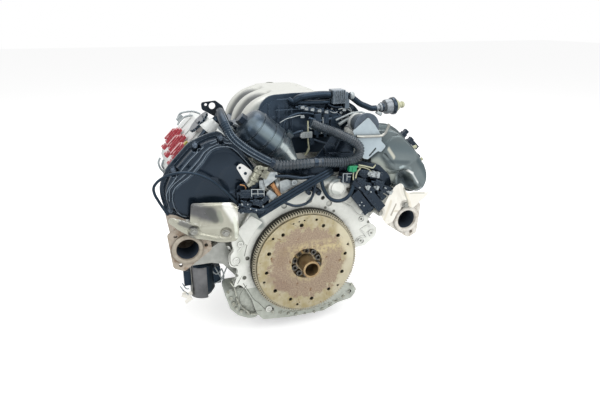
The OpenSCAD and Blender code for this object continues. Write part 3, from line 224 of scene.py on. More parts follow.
def tone(hex_colour):
    """A colour as a painter writes it, turned into the light it reflects."""
    parts = [int(hex_colour[i:i + 2], 16) / 255 for i in (0, 2, 4)]
    return [c / 12.92 if c < 0.04045 else ((c + 0.055) / 1.055) ** 2.4 for c in parts] + [1.0]


print("shader tools are ready")

# %% [markdown]
# ### Patches and casting grain
# Cloudy patches of a second tone break up every surface, and sand leaves grain and pits on
# a casting. Both are noise in the piece's own space, so they turn with the piece.

# %% Patches and grain
def effect(name, output, **inputs):
    """An empty node group with one result: (group, its input sockets, its output socket)."""
    tree = bpy.data.node_groups.new(name, "ShaderNodeTree")
    tree.interface.new_socket(name="Place", in_out="INPUT", socket_type="NodeSocketVector")
    for label, value in inputs.items():
        tree.interface.new_socket(
            name=label, in_out="INPUT", socket_type="NodeSocketFloat").default_value = value
    tree.interface.new_socket(name=output, in_out="OUTPUT", socket_type="NodeSocketFloat")
    given = tree.nodes.new("NodeGroupInput").outputs
    return tree, given, tree.nodes.new("NodeGroupOutput").inputs[output]


patches, given, result = effect("patches", "Mask", Scale=30.0, Spread=0.5, Sharpness=0.3)
cloud = noise(patches, given["Place"], given["Scale"], 6.0, 0.62)
low = maths(patches, "SUBTRACT", given["Spread"], given["Sharpness"])
high = maths(patches, "ADD", given["Spread"], given["Sharpness"])
patches.links.new(ranged(patches, cloud, low, high, interpolation_type="SMOOTHSTEP"), result)

casting_grain, given, result = effect("casting_grain", "Height", Scale=900.0, Pits=0.4)
fine = noise(casting_grain, given["Place"], given["Scale"], 3.0)
PIT_SCALE = 0.35  # pits are about three times as wide as the grain
pits = shader_node(casting_grain, "TexVoronoi", {
    "Vector": given["Place"],
    "Scale": maths(casting_grain, "MULTIPLY", given["Scale"], PIT_SCALE)})
deep = maths(casting_grain, "MULTIPLY", pits.outputs["Distance"], given["Pits"])
casting_grain.links.new(maths(casting_grain, "ADD", fine, deep), result)
print("effects:", [g.name for g in bpy.data.node_groups])

# %% [markdown]
# ### Worn edges and painted edge highlights
# Handling rubs an edge bright before it touches a flat face; on dark parts, beads and ribs
# the same bright line is also a painted highlight. The shader compares the true normal with
# one rounded over a small width: where they differ there is an edge. Noise then chips the
# bright line, as wear is never even.

# %% Edge wear and painted edge highlights
edge_wear_and_glint, given, result = effect("edge_wear_and_glint", "Mask", Width=0.0012, Amount=0.6)
rounded = shader_node(edge_wear_and_glint, "Bevel", {"Radius": given["Width"]}, samples=4)
flat = shader_node(edge_wear_and_glint, "NewGeometry")
bend = vector_maths(edge_wear_and_glint, "DOT_PRODUCT", rounded.outputs["Normal"], flat.outputs["Normal"])
chipped = ranged(edge_wear_and_glint, noise(edge_wear_and_glint, given["Place"], 260.0, 4.0), 0.38, 0.6)
worn = maths(edge_wear_and_glint, "MULTIPLY", ranged(edge_wear_and_glint, bend, 0.995, 0.86), chipped)
edge_wear_and_glint.links.new(maths(edge_wear_and_glint, "MULTIPLY", worn, given["Amount"]), result)
print("edge wear is ready")

# %% [markdown]
# ### Dust and sheen, grime and painted shade
# Dust lies in drifts on faces that look up; on dark parts the same upward film is also a
# painted sheen. Grime stays in corners that a cloth doesn't reach, which is where the surface
# sees little open sky; the same mask also darkens corners, gaps and creases as painted shade.

# %% Dust and sheen, grime and painted shade
dust_and_sheen_group, given, result = effect("dust_and_sheen", "Mask", Amount=0.3)
facing = shader_node(dust_and_sheen_group, "NewGeometry").outputs["Normal"]
upward = shader_node(dust_and_sheen_group, "SeparateXYZ", {"Vector": facing}).outputs["Z"]
drift = ranged(dust_and_sheen_group, noise(dust_and_sheen_group, given["Place"], 45.0, 7.0, 0.7), 0.35, 0.7)
lying = maths(dust_and_sheen_group, "MULTIPLY", ranged(dust_and_sheen_group, upward, -0.1, 1.0), drift)
dust_and_sheen_group.links.new(maths(dust_and_sheen_group, "MULTIPLY", lying, given["Amount"]), result)

grime_and_shade, given, result = effect("grime_and_shade", "Mask", Reach=0.012, Amount=0.6)
open_sky = shader_node(grime_and_shade, "AmbientOcclusion", {"Distance": given["Reach"]}, samples=6)
smear = ranged(grime_and_shade, noise(grime_and_shade, given["Place"], 120.0, 6.0, 0.65), 0.3, 0.62, 0.35)
caught = maths(grime_and_shade, "MULTIPLY", ranged(grime_and_shade, open_sky.outputs["AO"], 0.92, 0.35), smear)
grime_and_shade.links.new(maths(grime_and_shade, "MULTIPLY", caught, given["Amount"]), result)
print("effects:", [g.name for g in bpy.data.node_groups])

# %% [markdown]
# ## Finishes
# One function lays the effects over a plain shader in the order in which they happen to a
# real part: the base tone with its patches, grime and painted shade in the corners, wear and
# painted highlights on the edges, then dust and painted sheen. Dust also dulls the gloss. A
# value that is the same all over is set on the shader.

# %% One finish from base tone, patches, grain, grime and shade, wear and highlights, dust and sheen
FINISHES = {}


def laid_by(tree, group, place, **inputs):
    """The result of a shared effect at this place, with values of its own."""
    return shader_node(tree, "Group", {"Place": place, **inputs},
                       node_tree=group).outputs[0]


def spots(tree, place, scale, spread, sharpness):
    return laid_by(tree, patches, place, Scale=scale, Spread=spread, Sharpness=sharpness)


def finish(name, base, second, rough=0.3, metal=0.0, scale=60, spread=0.5, sharpness=0.2,
           blend=0.8, grain=None, wear_and_glint=None, dust_and_sheen=None, dirt_and_shade=None, coat=0.0, level=0.5,
           tint=None):
    """Adds a material of two tones in patches, with what has happened to its surface.

    grain is (depth, scale); the edge wear and painted highlight (tone, width, amount); the
    dust and painted sheen (amount, tone); and the grime and painted shade (amount, tone,
    reach); each is left out where the surface has none; lengths in metres.
    """
    material = bpy.data.materials.new(name)
    material.use_nodes = True
    tree = material.node_tree
    shader = tree.nodes["Principled BSDF"]
    place = shader_node(tree, "TexCoord").outputs["Object"]
    share = maths(tree, "MULTIPLY", spots(tree, place, scale, spread, sharpness), blend)
    colour = mixed(tree, share, tone(base), tone(second))
    shader.inputs["Roughness"].default_value = rough
    # The corner mask is grime and painted shade, the edge mask wear and painted highlights, and
    # the upward film dust and a painted sheen.
    if dirt_and_shade:
        soot = laid_by(tree, grime_and_shade, place, Reach=dirt_and_shade[2], Amount=dirt_and_shade[0])
        colour = mixed(tree, soot, colour, tone(dirt_and_shade[1]))
    if wear_and_glint:
        edge = laid_by(tree, edge_wear_and_glint, place, Width=wear_and_glint[1], Amount=wear_and_glint[2])
        colour = mixed(tree, edge, colour, tone(wear_and_glint[0]))
    if dust_and_sheen:
        film = laid_by(tree, dust_and_sheen_group, place, Amount=dust_and_sheen[0])
        colour = mixed(tree, film, colour, tone(dust_and_sheen[1]))
        tree.links.new(maths(tree, "ADD", rough, film, use_clamp=True), shader.inputs["Roughness"])
    tree.links.new(colour, shader.inputs["Base Color"])
    if grain:
        height = laid_by(tree, casting_grain, place, Scale=grain[1])
        bump = shader_node(tree, "Bump", {"Height": height, "Distance": grain[0], "Strength": 1.0})
        tree.links.new(bump.outputs["Normal"], shader.inputs["Normal"])
    for label, value in (("Metallic", metal), ("Coat Weight", coat), ("Coat Roughness", 0.12),
                         ("Specular IOR Level", level)):
        shader.inputs[label].default_value = value
    if tint:
        shader.inputs["Specular Tint"].default_value = tone(tint)
    FINISHES[name] = material


print("finishes can be mixed")

# %% [markdown]
# ### Metals
# Castings are pale and grainy, with grime and painted shade in their corners; bolts and
# brackets are smoother, with bright edges. Each line says only what differs from a plain
# surface.

# %% Castings, bare metal and plating
finish("block_metal", "eef0ea", "dcdfd7", rough=0.42, metal=0.15, scale=70, blend=0.5,
       grain=(0.0003, 700), wear_and_glint=("fafbf8", 0.0014, 0.6), dust_and_sheen=(0.12, "b6b4a6"),
       dirt_and_shade=(1.0, "3a3b34", 0.022))
finish("pan_metal", "c3c8bf", "a3a89e", rough=0.42, metal=0.35, blend=0.6, grain=(0.0004, 600),
       wear_and_glint=("f0f2ee", 0.0016, 0.8), dust_and_sheen=(0.25, "8f8d7e"), dirt_and_shade=(0.95, "3e3c33", 0.02))
finish("pan_soiled", "c9ccc0", "8d8e7d", rough=0.42, metal=0.25, scale=75, sharpness=0.15,
       blend=0.9, grain=(0.0003, 600), wear_and_glint=("f2f3ec", 0.001, 0.7), dust_and_sheen=(0.1, "8f8d7e"),
       dirt_and_shade=(1.0, "2e2d25", 0.008))
finish("seal_metal", "b4b6b1", "92958f", rough=0.34, metal=0.6, blend=0.5, grain=(0.0002, 900),
       wear_and_glint=("e8eae7", 0.001, 0.7), dust_and_sheen=(0.2, "7d7a6d"), dirt_and_shade=(0.9, "3f3b34", 0.012))
finish("cam_cover", "d9dcda", "c6cac9", rough=0.36, metal=0.15, scale=50, blend=0.5,
       grain=(0.0002, 900), wear_and_glint=("fafafa", 0.0012, 0.6), dust_and_sheen=(0.15, "a9a598"),
       dirt_and_shade=(0.7, "3f3b34", 0.012))
finish("intake_grey", "c3c4be", "b9bab3", rough=0.36, metal=0.2, scale=30, blend=0.5,
       grain=(0.0002, 800), wear_and_glint=("e0e1dc", 0.0014, 0.35), dust_and_sheen=(0.05, "a8a698"),
       dirt_and_shade=(1.0, "50524e", 0.03))
finish("exhaust_iron", "b0a698", "846951", rough=0.6, metal=0.3, scale=75, spread=0.55,
       sharpness=0.12, grain=(0.0006, 500), wear_and_glint=("e0d9cc", 0.0014, 0.7), dust_and_sheen=(0.2, "b9ac96"),
       dirt_and_shade=(0.9, "2c2019", 0.012))
finish("flange_pale", "e0ddd5", "b5ab9c", rough=0.5, metal=0.1, scale=80, spread=0.55,
       sharpness=0.12, grain=(0.0003, 500), wear_and_glint=("f4f1ea", 0.0014, 0.7), dust_and_sheen=(0.2, "cfc6b8"),
       dirt_and_shade=(0.8, "4c4038", 0.01))
finish("ring_grey", "b3ab9d", "8d8474", rough=0.5, metal=0.35, scale=75, blend=0.7,
       grain=(0.0003, 500), wear_and_glint=("e9e4d8", 0.001, 0.7), dust_and_sheen=(0.1, "c9c2b2"),
       dirt_and_shade=(0.8, "2c2620", 0.008))
finish("pump_grey", "56626f", "434f5b", metal=0.3, grain=(0.00004, 900),
       wear_and_glint=("aab5bf", 0.0014, 0.7), dust_and_sheen=(0.15, "7b8893"), dirt_and_shade=(0.8, "3f3b34", 0.012), coat=0.2)
finish("pump_dark", "2c333b", "434b54", metal=0.5, scale=40, blend=0.7, grain=(0.0002, 800),
       wear_and_glint=("b5bdc3", 0.001, 0.6), dust_and_sheen=(0.1, "b9b2a2"), dirt_and_shade=(0.7, "0d1014", 0.012))
finish("arm_metal", "8c8e8f", "6d6f70", rough=0.45, metal=0.6, scale=50, blend=0.7,
       grain=(0.0003, 700), wear_and_glint=("d5d7d7", 0.001, 0.6), dust_and_sheen=(0.2, "b9b2a2"),
       dirt_and_shade=(0.8, "3f3b34", 0.012))
finish("gear_steel", "b9b29b", "9c947f", rough=0.34, metal=0.6, blend=0.7, grain=(0.0002, 700),
       wear_and_glint=("f4efdf", 0.0011, 0.95), dust_and_sheen=(0.05, "6d5f4b"), dirt_and_shade=(1.0, "12100c", 0.006))
finish("sleeve_bronze", "b49f78", "8d6f52", rough=0.34, metal=0.85, scale=50, grain=(0.0002, 700),
       wear_and_glint=("ecdfc0", 0.001, 0.8), dust_and_sheen=(0.1, "8a6c4a"), dirt_and_shade=(0.9, "33241a", 0.012))
finish("steel", "a9aaa5", "83847e", metal=0.85, scale=80, blend=0.7, grain=(0.0001, 900),
       wear_and_glint=("f2f2ee", 0.0008, 0.6), dust_and_sheen=(0.2, "8b826f"), dirt_and_shade=(0.9, "3f3b34", 0.012))
finish("brass_plate", "b58f4d", "94723a", rough=0.35, metal=1.0, blend=0.7)
finish("bolt_dark", "6d6c68", "45433f", rough=0.28, metal=0.9, scale=90, grain=(0.0001, 900),
       wear_and_glint=("d5d3cc", 0.0009, 0.8), dust_and_sheen=(0.15, "7b6a50"), dirt_and_shade=(1.0, "14110d", 0.008))
finish("bolt_blue", "5c6a79", "465362", rough=0.34, metal=0.4, scale=90,
       wear_and_glint=("a9b6c2", 0.0008, 0.7), dust_and_sheen=(0.1, "6d7b88"))
finish("bracket_zinc", "b6c4cb", "a2b0b8", rough=0.36, metal=0.45, scale=40, blend=0.5,
       grain=(0.0001, 900), wear_and_glint=("eef3f5", 0.001, 0.6), dust_and_sheen=(0.1, "b9b2a2"),
       dirt_and_shade=(0.6, "59646b", 0.012))
finish("bracket_white", "e6e7e5", "d2d4d1", rough=0.38, metal=0.2, scale=50, blend=0.5,
       grain=(0.0001, 900), wear_and_glint=("ffffff", 0.001, 0.5), dust_and_sheen=(0.1, "b9b2a2"),
       dirt_and_shade=(0.5, "3f3b34", 0.012))
finish("fitting", "a4a595", "64655c", rough=0.26, metal=0.75, scale=70, spread=0.52,
       sharpness=0.15, grain=(0.0003, 500), wear_and_glint=("f4f2e6", 0.001, 0.8), dust_and_sheen=(0.2, "b9b2a2"),
       dirt_and_shade=(0.9, "26241b", 0.006))
finish("braid", "b58a60", "7a4e30", rough=0.4, metal=0.7, scale=260, sharpness=0.1, blend=0.9,
       grain=(0.0004, 900), dirt_and_shade=(0.8, "2b1a10", 0.012))
print("finishes so far:", len(FINISHES))

# %% [markdown]
# ### Mouldings and painted covers
# The gloss of black plastic is faintly blue, and a tinted reflection gives that blue. The
# pale edge tones are wear and painted highlights on edges and crests, the bluish upward
# films dust and a painted sheen, strongest on the oil filter, and the corner darkening grime
# and painted shade. One finish paints the highlight along the crests of the left cover's
# beads.

# %% Moulded covers, housings and pulleys
BLUE_SHEEN = "a9cdf2"
finish("sheet_black", "101215", "1a1c20", rough=0.35, scale=40, grain=(0.0001, 900),
       wear_and_glint=("5c5f63", 0.001, 0.5), dust_and_sheen=(0.2, "b9b2a2"), tint=BLUE_SHEEN)
finish("cover_black", "0b1219", "151e28", rough=0.24, scale=18, blend=0.7, grain=(0.00003, 900),
       wear_and_glint=("9fb0bb", 0.0018, 0.6), dust_and_sheen=(0.05, "2a3236"), coat=0.3, level=0.55, tint=BLUE_SHEEN)
finish("cover_grey", "747f81", "667173", rough=0.24, metal=0.6, scale=24, blend=0.5,
       grain=(0.00004, 900), wear_and_glint=("d5dcdd", 0.0016, 0.55), dust_and_sheen=(0.04, "8a9091"),
       dirt_and_shade=(1.0, "20282c", 0.03))
finish("plastic_black", "0b1017", "151c25", rough=0.24, scale=30, blend=0.7,
       grain=(0.00005, 1200), wear_and_glint=("93a1aa", 0.001, 0.6), dust_and_sheen=(0.06, "566069"), coat=0.2,
       level=0.55, tint=BLUE_SHEEN)
finish("wall_black", "2b3642", "35414e", rough=0.24, scale=14, sharpness=0.3,
       grain=(0.00003, 1200), wear_and_glint=("93a1aa", 0.001, 0.5), dust_and_sheen=(0.05, "5d6872"), coat=0.2,
       tint=BLUE_SHEEN)
# The filter's bluish upward film paints a sheen on faces that look up, and its corner darkening
# paints shade in the grooves.
finish("filter_black", "1f272e", "29323a", rough=0.24, scale=20, sharpness=0.3,
       grain=(0.00003, 1200), wear_and_glint=("a9b4bb", 0.0012, 0.6), dust_and_sheen=(0.2, "76828a"),
       dirt_and_shade=(1.0, "080b10", 0.009), coat=0.1, level=0.6, tint=BLUE_SHEEN)
# The foot is the filter's black plastic in a lighter tone, a painted reflection.
finish("filter_foot", "35424a", "28333b", rough=0.26, metal=0.1, sharpness=0.3,
       grain=(0.00003, 1200), wear_and_glint=("b4c0c5", 0.0010, 0.5), dust_and_sheen=(0.04, "55626a"),
       dirt_and_shade=(1.0, "0d1216", 0.004), coat=0.05, level=0.6)
finish("pulley_black", "1a1b1d", "2b2d2f", rough=0.35, metal=0.3, blend=0.7, grain=(0.0001, 900),
       wear_and_glint=("8d8f91", 0.001, 0.6), dust_and_sheen=(0.2, "b9b2a2"))
finish("solenoid_grey", "6c7a86", "53606b", rough=0.26, scale=30, sharpness=0.3,
       wear_and_glint=("d3dce1", 0.0012, 0.8), dirt_and_shade=(1.0, "0d1217", 0.012), coat=0.2)
finish("valve_grey", "8b9298", "6b737a", rough=0.26, metal=0.2, scale=50, blend=0.6,
       grain=(0.0001, 900), wear_and_glint=("d9dee1", 0.0008, 0.6), dust_and_sheen=(0.1, "b9b2a2"),
       dirt_and_shade=(0.7, "23282d", 0.012))
finish("bead_crest_highlight", "4d5a66", "8593a0", metal=0.1, scale=26, sharpness=0.3, blend=0.9,
       wear_and_glint=("c0ccd4", 0.001, 0.4), dust_and_sheen=(0.05, "8593a0"), coat=0.1, level=0.4)
print("finishes so far:", len(FINISHES))

# %% [markdown]
# ### Rubber, wires and small plugs
# Each coloured plug and wire has a finish of its own. Seams and pits are dull and dark, as
# nothing polishes them. On dark rubber the pale edge tones are wear and painted highlights on
# ribs, the bluish upward films dust and a painted sheen, and the corner darkening grime and
# painted shade.

# %% Hoses, wires, plugs and marks
finish("rubber", "11181f", "1e262e", grain=(0.0001, 1200), wear_and_glint=("7f8c96", 0.0012, 0.55),
       dust_and_sheen=(0.08, "5f6a74"), tint=BLUE_SHEEN)
finish("harness", "141b22", "222b33", scale=70, grain=(0.0001, 1500),
       wear_and_glint=("8a97a0", 0.0012, 0.6), dust_and_sheen=(0.08, "67727c"), tint=BLUE_SHEEN)
finish("conduit", "202a33", "36424c", grain=(0.00003, 900), wear_and_glint=("8f9ba3", 0.0012, 0.8),
       dust_and_sheen=(0.06, "55626b"), dirt_and_shade=(1.0, "05080c", 0.003), coat=0.1, level=0.6)
# Thin pale lines of this tone paint highlights along the breather hose.
finish("hose_highlight_line", "6a7885", "47545f", scale=90, wear_and_glint=("b9c4cb", 0.0008, 0.5),
       dust_and_sheen=(0.1, "7d8a94"))
finish("wire_pale", "c3c4a8", "a3a484", rough=0.4, scale=90, blend=0.7,
       dirt_and_shade=(0.6, "3b3c30", 0.012))
finish("plug_grey", "b4bcbd", "8d969b", metal=0.1, scale=90, sharpness=0.15, grain=(0.0001, 900),
       wear_and_glint=("f2f5f6", 0.0008, 0.7), dust_and_sheen=(0.1, "b9b2a2"), dirt_and_shade=(1.0, "14181d", 0.006))
finish("plug_yellow", "b9a53c", "6f7a3a", rough=0.4, scale=70, grain=(0.0001, 900),
       dirt_and_shade=(0.8, "2a3020", 0.012))
finish("green", "1f9a68", "167a52", scale=90, blend=0.6, dirt_and_shade=(0.6, "0c3022", 0.012))
finish("coil_red", "b8404c", "992f3a", scale=40, blend=0.7, grain=(0.00008, 900),
       wear_and_glint=("efc0c2", 0.001, 0.6), dust_and_sheen=(0.2, "d6b5b2"), dirt_and_shade=(0.8, "5a2328", 0.012), coat=0.2)
# This pale pink paints highlights on the coils' top faces.
finish("coil_red_highlight", "cfa8a8", "bb8b8d", rough=0.34, blend=0.7, grain=(0.00005, 900),
       wear_and_glint=("f0dcda", 0.0010, 0.6), dust_and_sheen=(0.2, "d9c0bc"))
finish("dipstick_orange", "d2691c", "ad5012", rough=0.35, blend=0.6)
finish("seam", "7d8078", "5f6159", rough=0.6, scale=90, sharpness=0.3)
# This near-black tone paints the shadow behind the ring gear.
finish("painted_shadow_black", "2b2b26", "3c3b33", rough=0.7, scale=90, sharpness=0.3)
print("finishes so far:", len(FINISHES))

# %% [markdown]
# ### Sheet near the exhaust
# Heat shields are thin bright sheet, dulled by heat. Rolled sheet is smooth, so its grain
# is shallow, and grime and painted shade gather where it folds.

# %% Heat shields and soot
finish("shield_sheet", "d9d6ca", "bcb8aa", rough=0.27, metal=0.75, scale=30, sharpness=0.25,
       blend=0.5, grain=(0.00008, 600), wear_and_glint=("ffffff", 0.0012, 0.6), dust_and_sheen=(0.12, "a08f78"),
       dirt_and_shade=(0.6, "6b6354", 0.012))
finish("shield_cream", "b6b6a8", "a1a091", rough=0.26, metal=0.6, scale=22, sharpness=0.25,
       blend=0.6, grain=(0.0001, 500), wear_and_glint=("ffffff", 0.0012, 0.6), dust_and_sheen=(0.12, "8d7a62"),
       dirt_and_shade=(0.9, "3d362c", 0.014))
finish("shield_white", "f4f2ea", "e4e0d2", metal=0.35, scale=22, sharpness=0.25, blend=0.5,
       grain=(0.0001, 500), wear_and_glint=("ffffff", 0.0012, 0.5), dust_and_sheen=(0.08, "b3a58c"),
       dirt_and_shade=(0.9, "6f6352", 0.016))
finish("shield_dark", "77787a", "55575a", rough=0.28, metal=0.85, scale=30, grain=(0.0001, 900),
       wear_and_glint=("d5d7d8", 0.001, 0.6), dust_and_sheen=(0.1, "b9b2a2"), dirt_and_shade=(0.9, "131518", 0.012))
finish("sheet_ribs", "8b8b86", "6d6d69", metal=0.6, scale=90, blend=0.7, grain=(0.0001, 900),
       wear_and_glint=("d0d0ca", 0.001, 0.6), dust_and_sheen=(0.1, "8f8d7e"))
finish("soot", "1f2937", "2f3a47", rough=0.7, sharpness=0.3, grain=(0.0003, 700),
       dust_and_sheen=(0.1, "59636d"))
print("finishes so far:", len(FINISHES))

# %% [markdown]
# ## Painted streaks and zones
# Some pieces carry broad marks: painted highlights, reflections and shade, and darker and
# lighter zones. Each is a soft capsule in the piece's own space: two ends, a reach along x, y
# and z in millimetres, a tone and a share. Nothing depends on where the camera stands.

# %% Soft zones of other tones
def toned(source, name, *zones):
    """A copy of a finish with soft streaks of other tones: (start, end, reach, tone, share)."""
    material = FINISHES[name] = FINISHES[source].copy()
    material.name = name
    tree = material.node_tree
    base = tree.nodes["Principled BSDF"].inputs["Base Color"]
    laid = base.links[0].from_socket
    place = shader_node(tree, "TexCoord").outputs["Object"]
    for start, end, reach, colour, share in zones:
        start, run = Vector(start) * MM, (Vector(end) - Vector(start)) * MM
        off = vector_maths(tree, "SUBTRACT", place, start)
        along = vector_maths(tree, "DOT_PRODUCT", off, run / run.length_squared)
        along = shader_node(tree, "Clamp", {"Value": along}).outputs[0]
        nearest = shader_node(tree, "VectorMath", {0: run, "Scale": along}, operation="SCALE")
        off = vector_maths(tree, "SUBTRACT", off, nearest.outputs[0])
        away = vector_maths(tree, "LENGTH", vector_maths(tree, "DIVIDE", off,
                                                         [v * MM for v in reach]))
        mask = ranged(tree, away, 1.0, 0.35, 0.0, share, interpolation_type="SMOOTHSTEP")
        laid = mixed(tree, mask, laid, tone(colour))
    tree.links.new(laid, base)


print("streaks can be laid")


# %% [markdown]
# ## Drive plate
# The plate inside the ring gear is gold-grey steel, rubbed to a ragged mauve disc in its
# middle, with bare flecks round the hub and spots of rust. Distance from the crank axis,
# broken up by noise, decides which of these shows.

# %% The drive plate: gold-grey steel with a mauve, rubbed middle and rust round its rim
finish("rubbed_plate", "bdb59b", "a3946a", rough=0.36, metal=0.6, scale=34, sharpness=0.16,
       grain=(0.0003, 500), wear_and_glint=("ece6d2", 0.001, 0.7), dirt_and_shade=(0.8, "2b2319", 0.006))


def rub_plate():
    tree = FINISHES["rubbed_plate"].node_tree
    base = tree.nodes["Principled BSDF"].inputs["Base Color"]
    place = shader_node(tree, "TexCoord").outputs["Object"]
    radius = vector_maths(tree, "LENGTH", vector_maths(tree, "MULTIPLY", place, (1, 0, 1)))
    # the rubbed disc ends at a ragged edge, about 0.1 m from the axis
    ragged = maths(tree, "MULTIPLY_ADD", noise(tree, place, 46.0, 12.0, 0.7), 0.13, 0.034)
    rubbed = ranged(tree, maths(tree, "SUBTRACT", ragged, radius), -0.003, 0.004)
    mauve = mixed(tree, spots(tree, place, 300.0, 0.52, 0.2), tone("8b7869"), tone("b8a78f"))
    middle = mixed(tree, rubbed, base.links[0].from_socket, mauve)
    # bare metal flecks round the hub and in a flat band above and beside it
    bare = ranged(tree, radius, 0.058, 0.040)
    beside = vector_maths(tree, "SUBTRACT", place, (0.034, 0, 0.040))
    reach = vector_maths(tree, "LENGTH", vector_maths(tree, "MULTIPLY", beside, (0.42, 0, 1.9)))
    both = maths(tree, "MAXIMUM", bare, ranged(tree, reach, 0.050, 0.022))
    core = maths(tree, "MULTIPLY", both, spots(tree, place, 90.0, 0.5, 0.12), use_clamp=True)
    middle = mixed(tree, core, middle, tone("c6b88f"))
    rusty = mixed(tree, spots(tree, place, 60.0, 0.64, 0.05), middle, tone("7b5a3c"))
    tree.links.new(rusty, base)


rub_plate()
# The first two zones paint a highlight on the plate's right side; the last two lay mauve tone on
# its left.
toned("rubbed_plate", "plate_steel",
    ((96, 0, 84), (128, 0, 10), (26, 40, 26), "dcd6bd", 0.65),
    ((128, 0, 0), (92, 0, -92), (24, 40, 26), "d4cfba", 0.6),
    ((-92, 0, -30), (-60, 0, -60), (26, 40, 18), "8c7668", 0.45),
    ((-70, 0, 10), (-62, 0, 40), (18, 40, 16), "8f7a64", 0.4))
print("finishes:", len(FINISHES))

# %% [markdown]
# ## Painted light and shade on covers and castings
# The left shield carries painted reflections in dark and bright bands, the grey cover painted
# highlights and shade over its ridges, and the block darker and lighter zones. Each row runs
# along one fold, ridge or corner.

# %% Painted reflections on the left shield and painted highlights and shade on the grey cover
# The left shield's dark and bright bands are painted reflections and highlights.
toned("shield_cream", "shield_painted_reflections",
    ((-278, 0, 184), (-236, 0, 164), (24, 40, 28), "5d5e61", 0.95),
    ((-238, 0, 172), (-224, 0, 150), (14, 40, 15), "595b59", 0.9),
    ((-216, 0, 162), (-212, 0, 148), (8, 40, 14), "8f9387", 0.75),
    ((-198, 0, 182), (-182, 0, 152), (14, 40, 20), "f8f9f4", 0.95),
    ((-182, 0, 150), (-178, 0, 100), (6, 40, 8), "e9eee0", 0.85),
    ((-304, 0, 152), (-272, 0, 132), (10, 40, 8), "505155", 0.75),
    ((-284, 0, 118), (-276, 0, 102), (8, 40, 12), "5f5f5a", 0.85),
    ((-262, 0, 132), (-200, 0, 126), (12, 40, 5), "bcbdaf", 0.6))
# The grey cover's dark and light streaks are painted shade, highlights and reflections.
toned("cover_grey", "cover_grey_painted_light_and_shade",
    ((212, 36, 286), (290, 36, 272), (40, 40, 26), "5c6a6f", 0.75),
    ((182, 36, 250), (214, 36, 284), (12, 40, 12), "2c373d", 0.75),
    ((200, 34, 240), (240, 34, 198), (24, 40, 18), "a9b0a7", 0.75),
    ((226, 34, 276), (242, 34, 254), (6, 40, 10), "d9d8c8", 0.75),
    ((240, 34, 242), (280, 34, 236), (20, 40, 9), "4a565b", 0.75),
    ((270, 34, 204), (300, 34, 172), (20, 40, 14), "2a353b", 0.95),
    ((286, 34, 214), (300, 34, 206), (6, 40, 5), "f6f8f6", 0.95),
    ((299, 34, 206), (318, 34, 178), (4.5, 40, 5), "e2e8e7", 0.9),
    ((314, 34, 158), (344, 34, 160), (10, 40, 4.5), "aab4b6", 0.8),
    ((310, 34, 146), (340, 34, 142), (12, 40, 5), "27323a", 0.85),
    ((318, 36, 238), (352, 36, 180), (12, 40, 18), "49575d", 0.7))
print("toned: shield and cover")

# %% Darker and lighter zones on the block, and shaded castings
# Soft darker and lighter zones over the block's pale finish.
toned("block_metal", "block_darker_and_lighter_zones",
    ((-60, 40, -140), (60, 40, -150), (36, 60, 16), "a9ab98", 0.6),
    ((-150, 40, -88), (-130, 40, -96), (16, 60, 18), "e4e7da", 0.8),
    ((-160, 60, 90), (-165, 60, 20), (22, 60, 26), "b9beb3", 0.6),
    ((-70, 40, 206), (40, 40, 204), (40, 40, 12), "aeb1a6", 0.5),
    ((-128, 40, 138), (-112, 40, 110), (16, 60, 18), "6f7c79", 0.75),
    ((-196, 60, -40), (-186, 60, -84), (12, 60, 14), "8d8f84", 0.7))
toned("intake_grey", "intake_shaded",
    *(((-128, y, 300), (-66, y, 396), (34, 25, 34), "3c4043", 0.9) for y in (237, 323)),
    ((-112, 148, 330), (-70, 148, 390), (34, 20, 34), "7d8583", 0.75))
toned("block_metal", "housing_shaded",
    ((-92, 12, 232), (-22, 12, 222), (22, 60, 15), "4c5a5f", 0.85),
    ((42, 12, 216), (80, 12, 214), (14, 60, 13), "5a686c", 0.85),
    ((58, 12, 186), (84, 12, 176), (10, 60, 8), "aeb5ae", 0.6))
# Painted shade and highlights along the right shield's folds and edges.
toned("shield_white", "shield_white_fold_light_and_shade",
    ((268, 10, 172), (286, 10, 118), (5, 40, 6), "a9a89c", 0.85),
    ((276, 10, 160), (294, 10, 112), (5, 40, 6), "e9e2d0", 0.8),
    ((234, 10, 104), (246, 10, 130), (4, 40, 6), "8f8778", 0.8),
    ((216, 10, 92), (232, 10, 140), (5, 40, 8), "d9d2c0", 0.7),
    ((300, 10, 104), (338, 10, 148), (5, 40, 5), "b8b8b0", 0.7),
    ((290, 10, 156), (326, 10, 154), (5, 40, 3), "b0b0a8", 0.6),
    ((246, 10, 112), (262, 10, 108), (8, 40, 5), "cfc6b2", 0.6))
print("toned: block, intake, housing and right shield")

# %% [markdown]
# ## Finishes on the solid model
# Each solid node takes the finish of its slot, apart from six that have one of their own.
# A narrow bevel, set by angle, rounds the sharp corners so that they catch the light, as
# cast and pressed metal does. Teeth, belt ribs and bolts are too fine for it.

# %% Finishes and small bevels on the CAD nodes
SLOT_OF = {part["node"]: part["material_slot"] for part in frame["record"]["subparts"]}
OWN_FINISH = {
    "cylinder_block": "block_darker_and_lighter_zones", "intake_manifold_lower": "wall_black",
    "oil_filler_cap": "cover_black", "vacuum_pump": "pump_grey",
    "rear_coolant_housing": "housing_shaded", "exhaust_manifold_right": "flange_pale"}
NO_BEVEL = ("ring_gear", "drive_belt", "flange_bolts", "crank_bolts")


def soften(piece, width, angle):
    """A two-step bevel of `width` mm on the edges that turn by more than `angle` degrees."""
    bevel = piece.modifiers.new("bevel", "BEVEL")
    bevel.width, bevel.segments, bevel.limit_method = width * MM, 2, "ANGLE"
    bevel.angle_limit = math.radians(angle)
    bevel.harden_normals = True


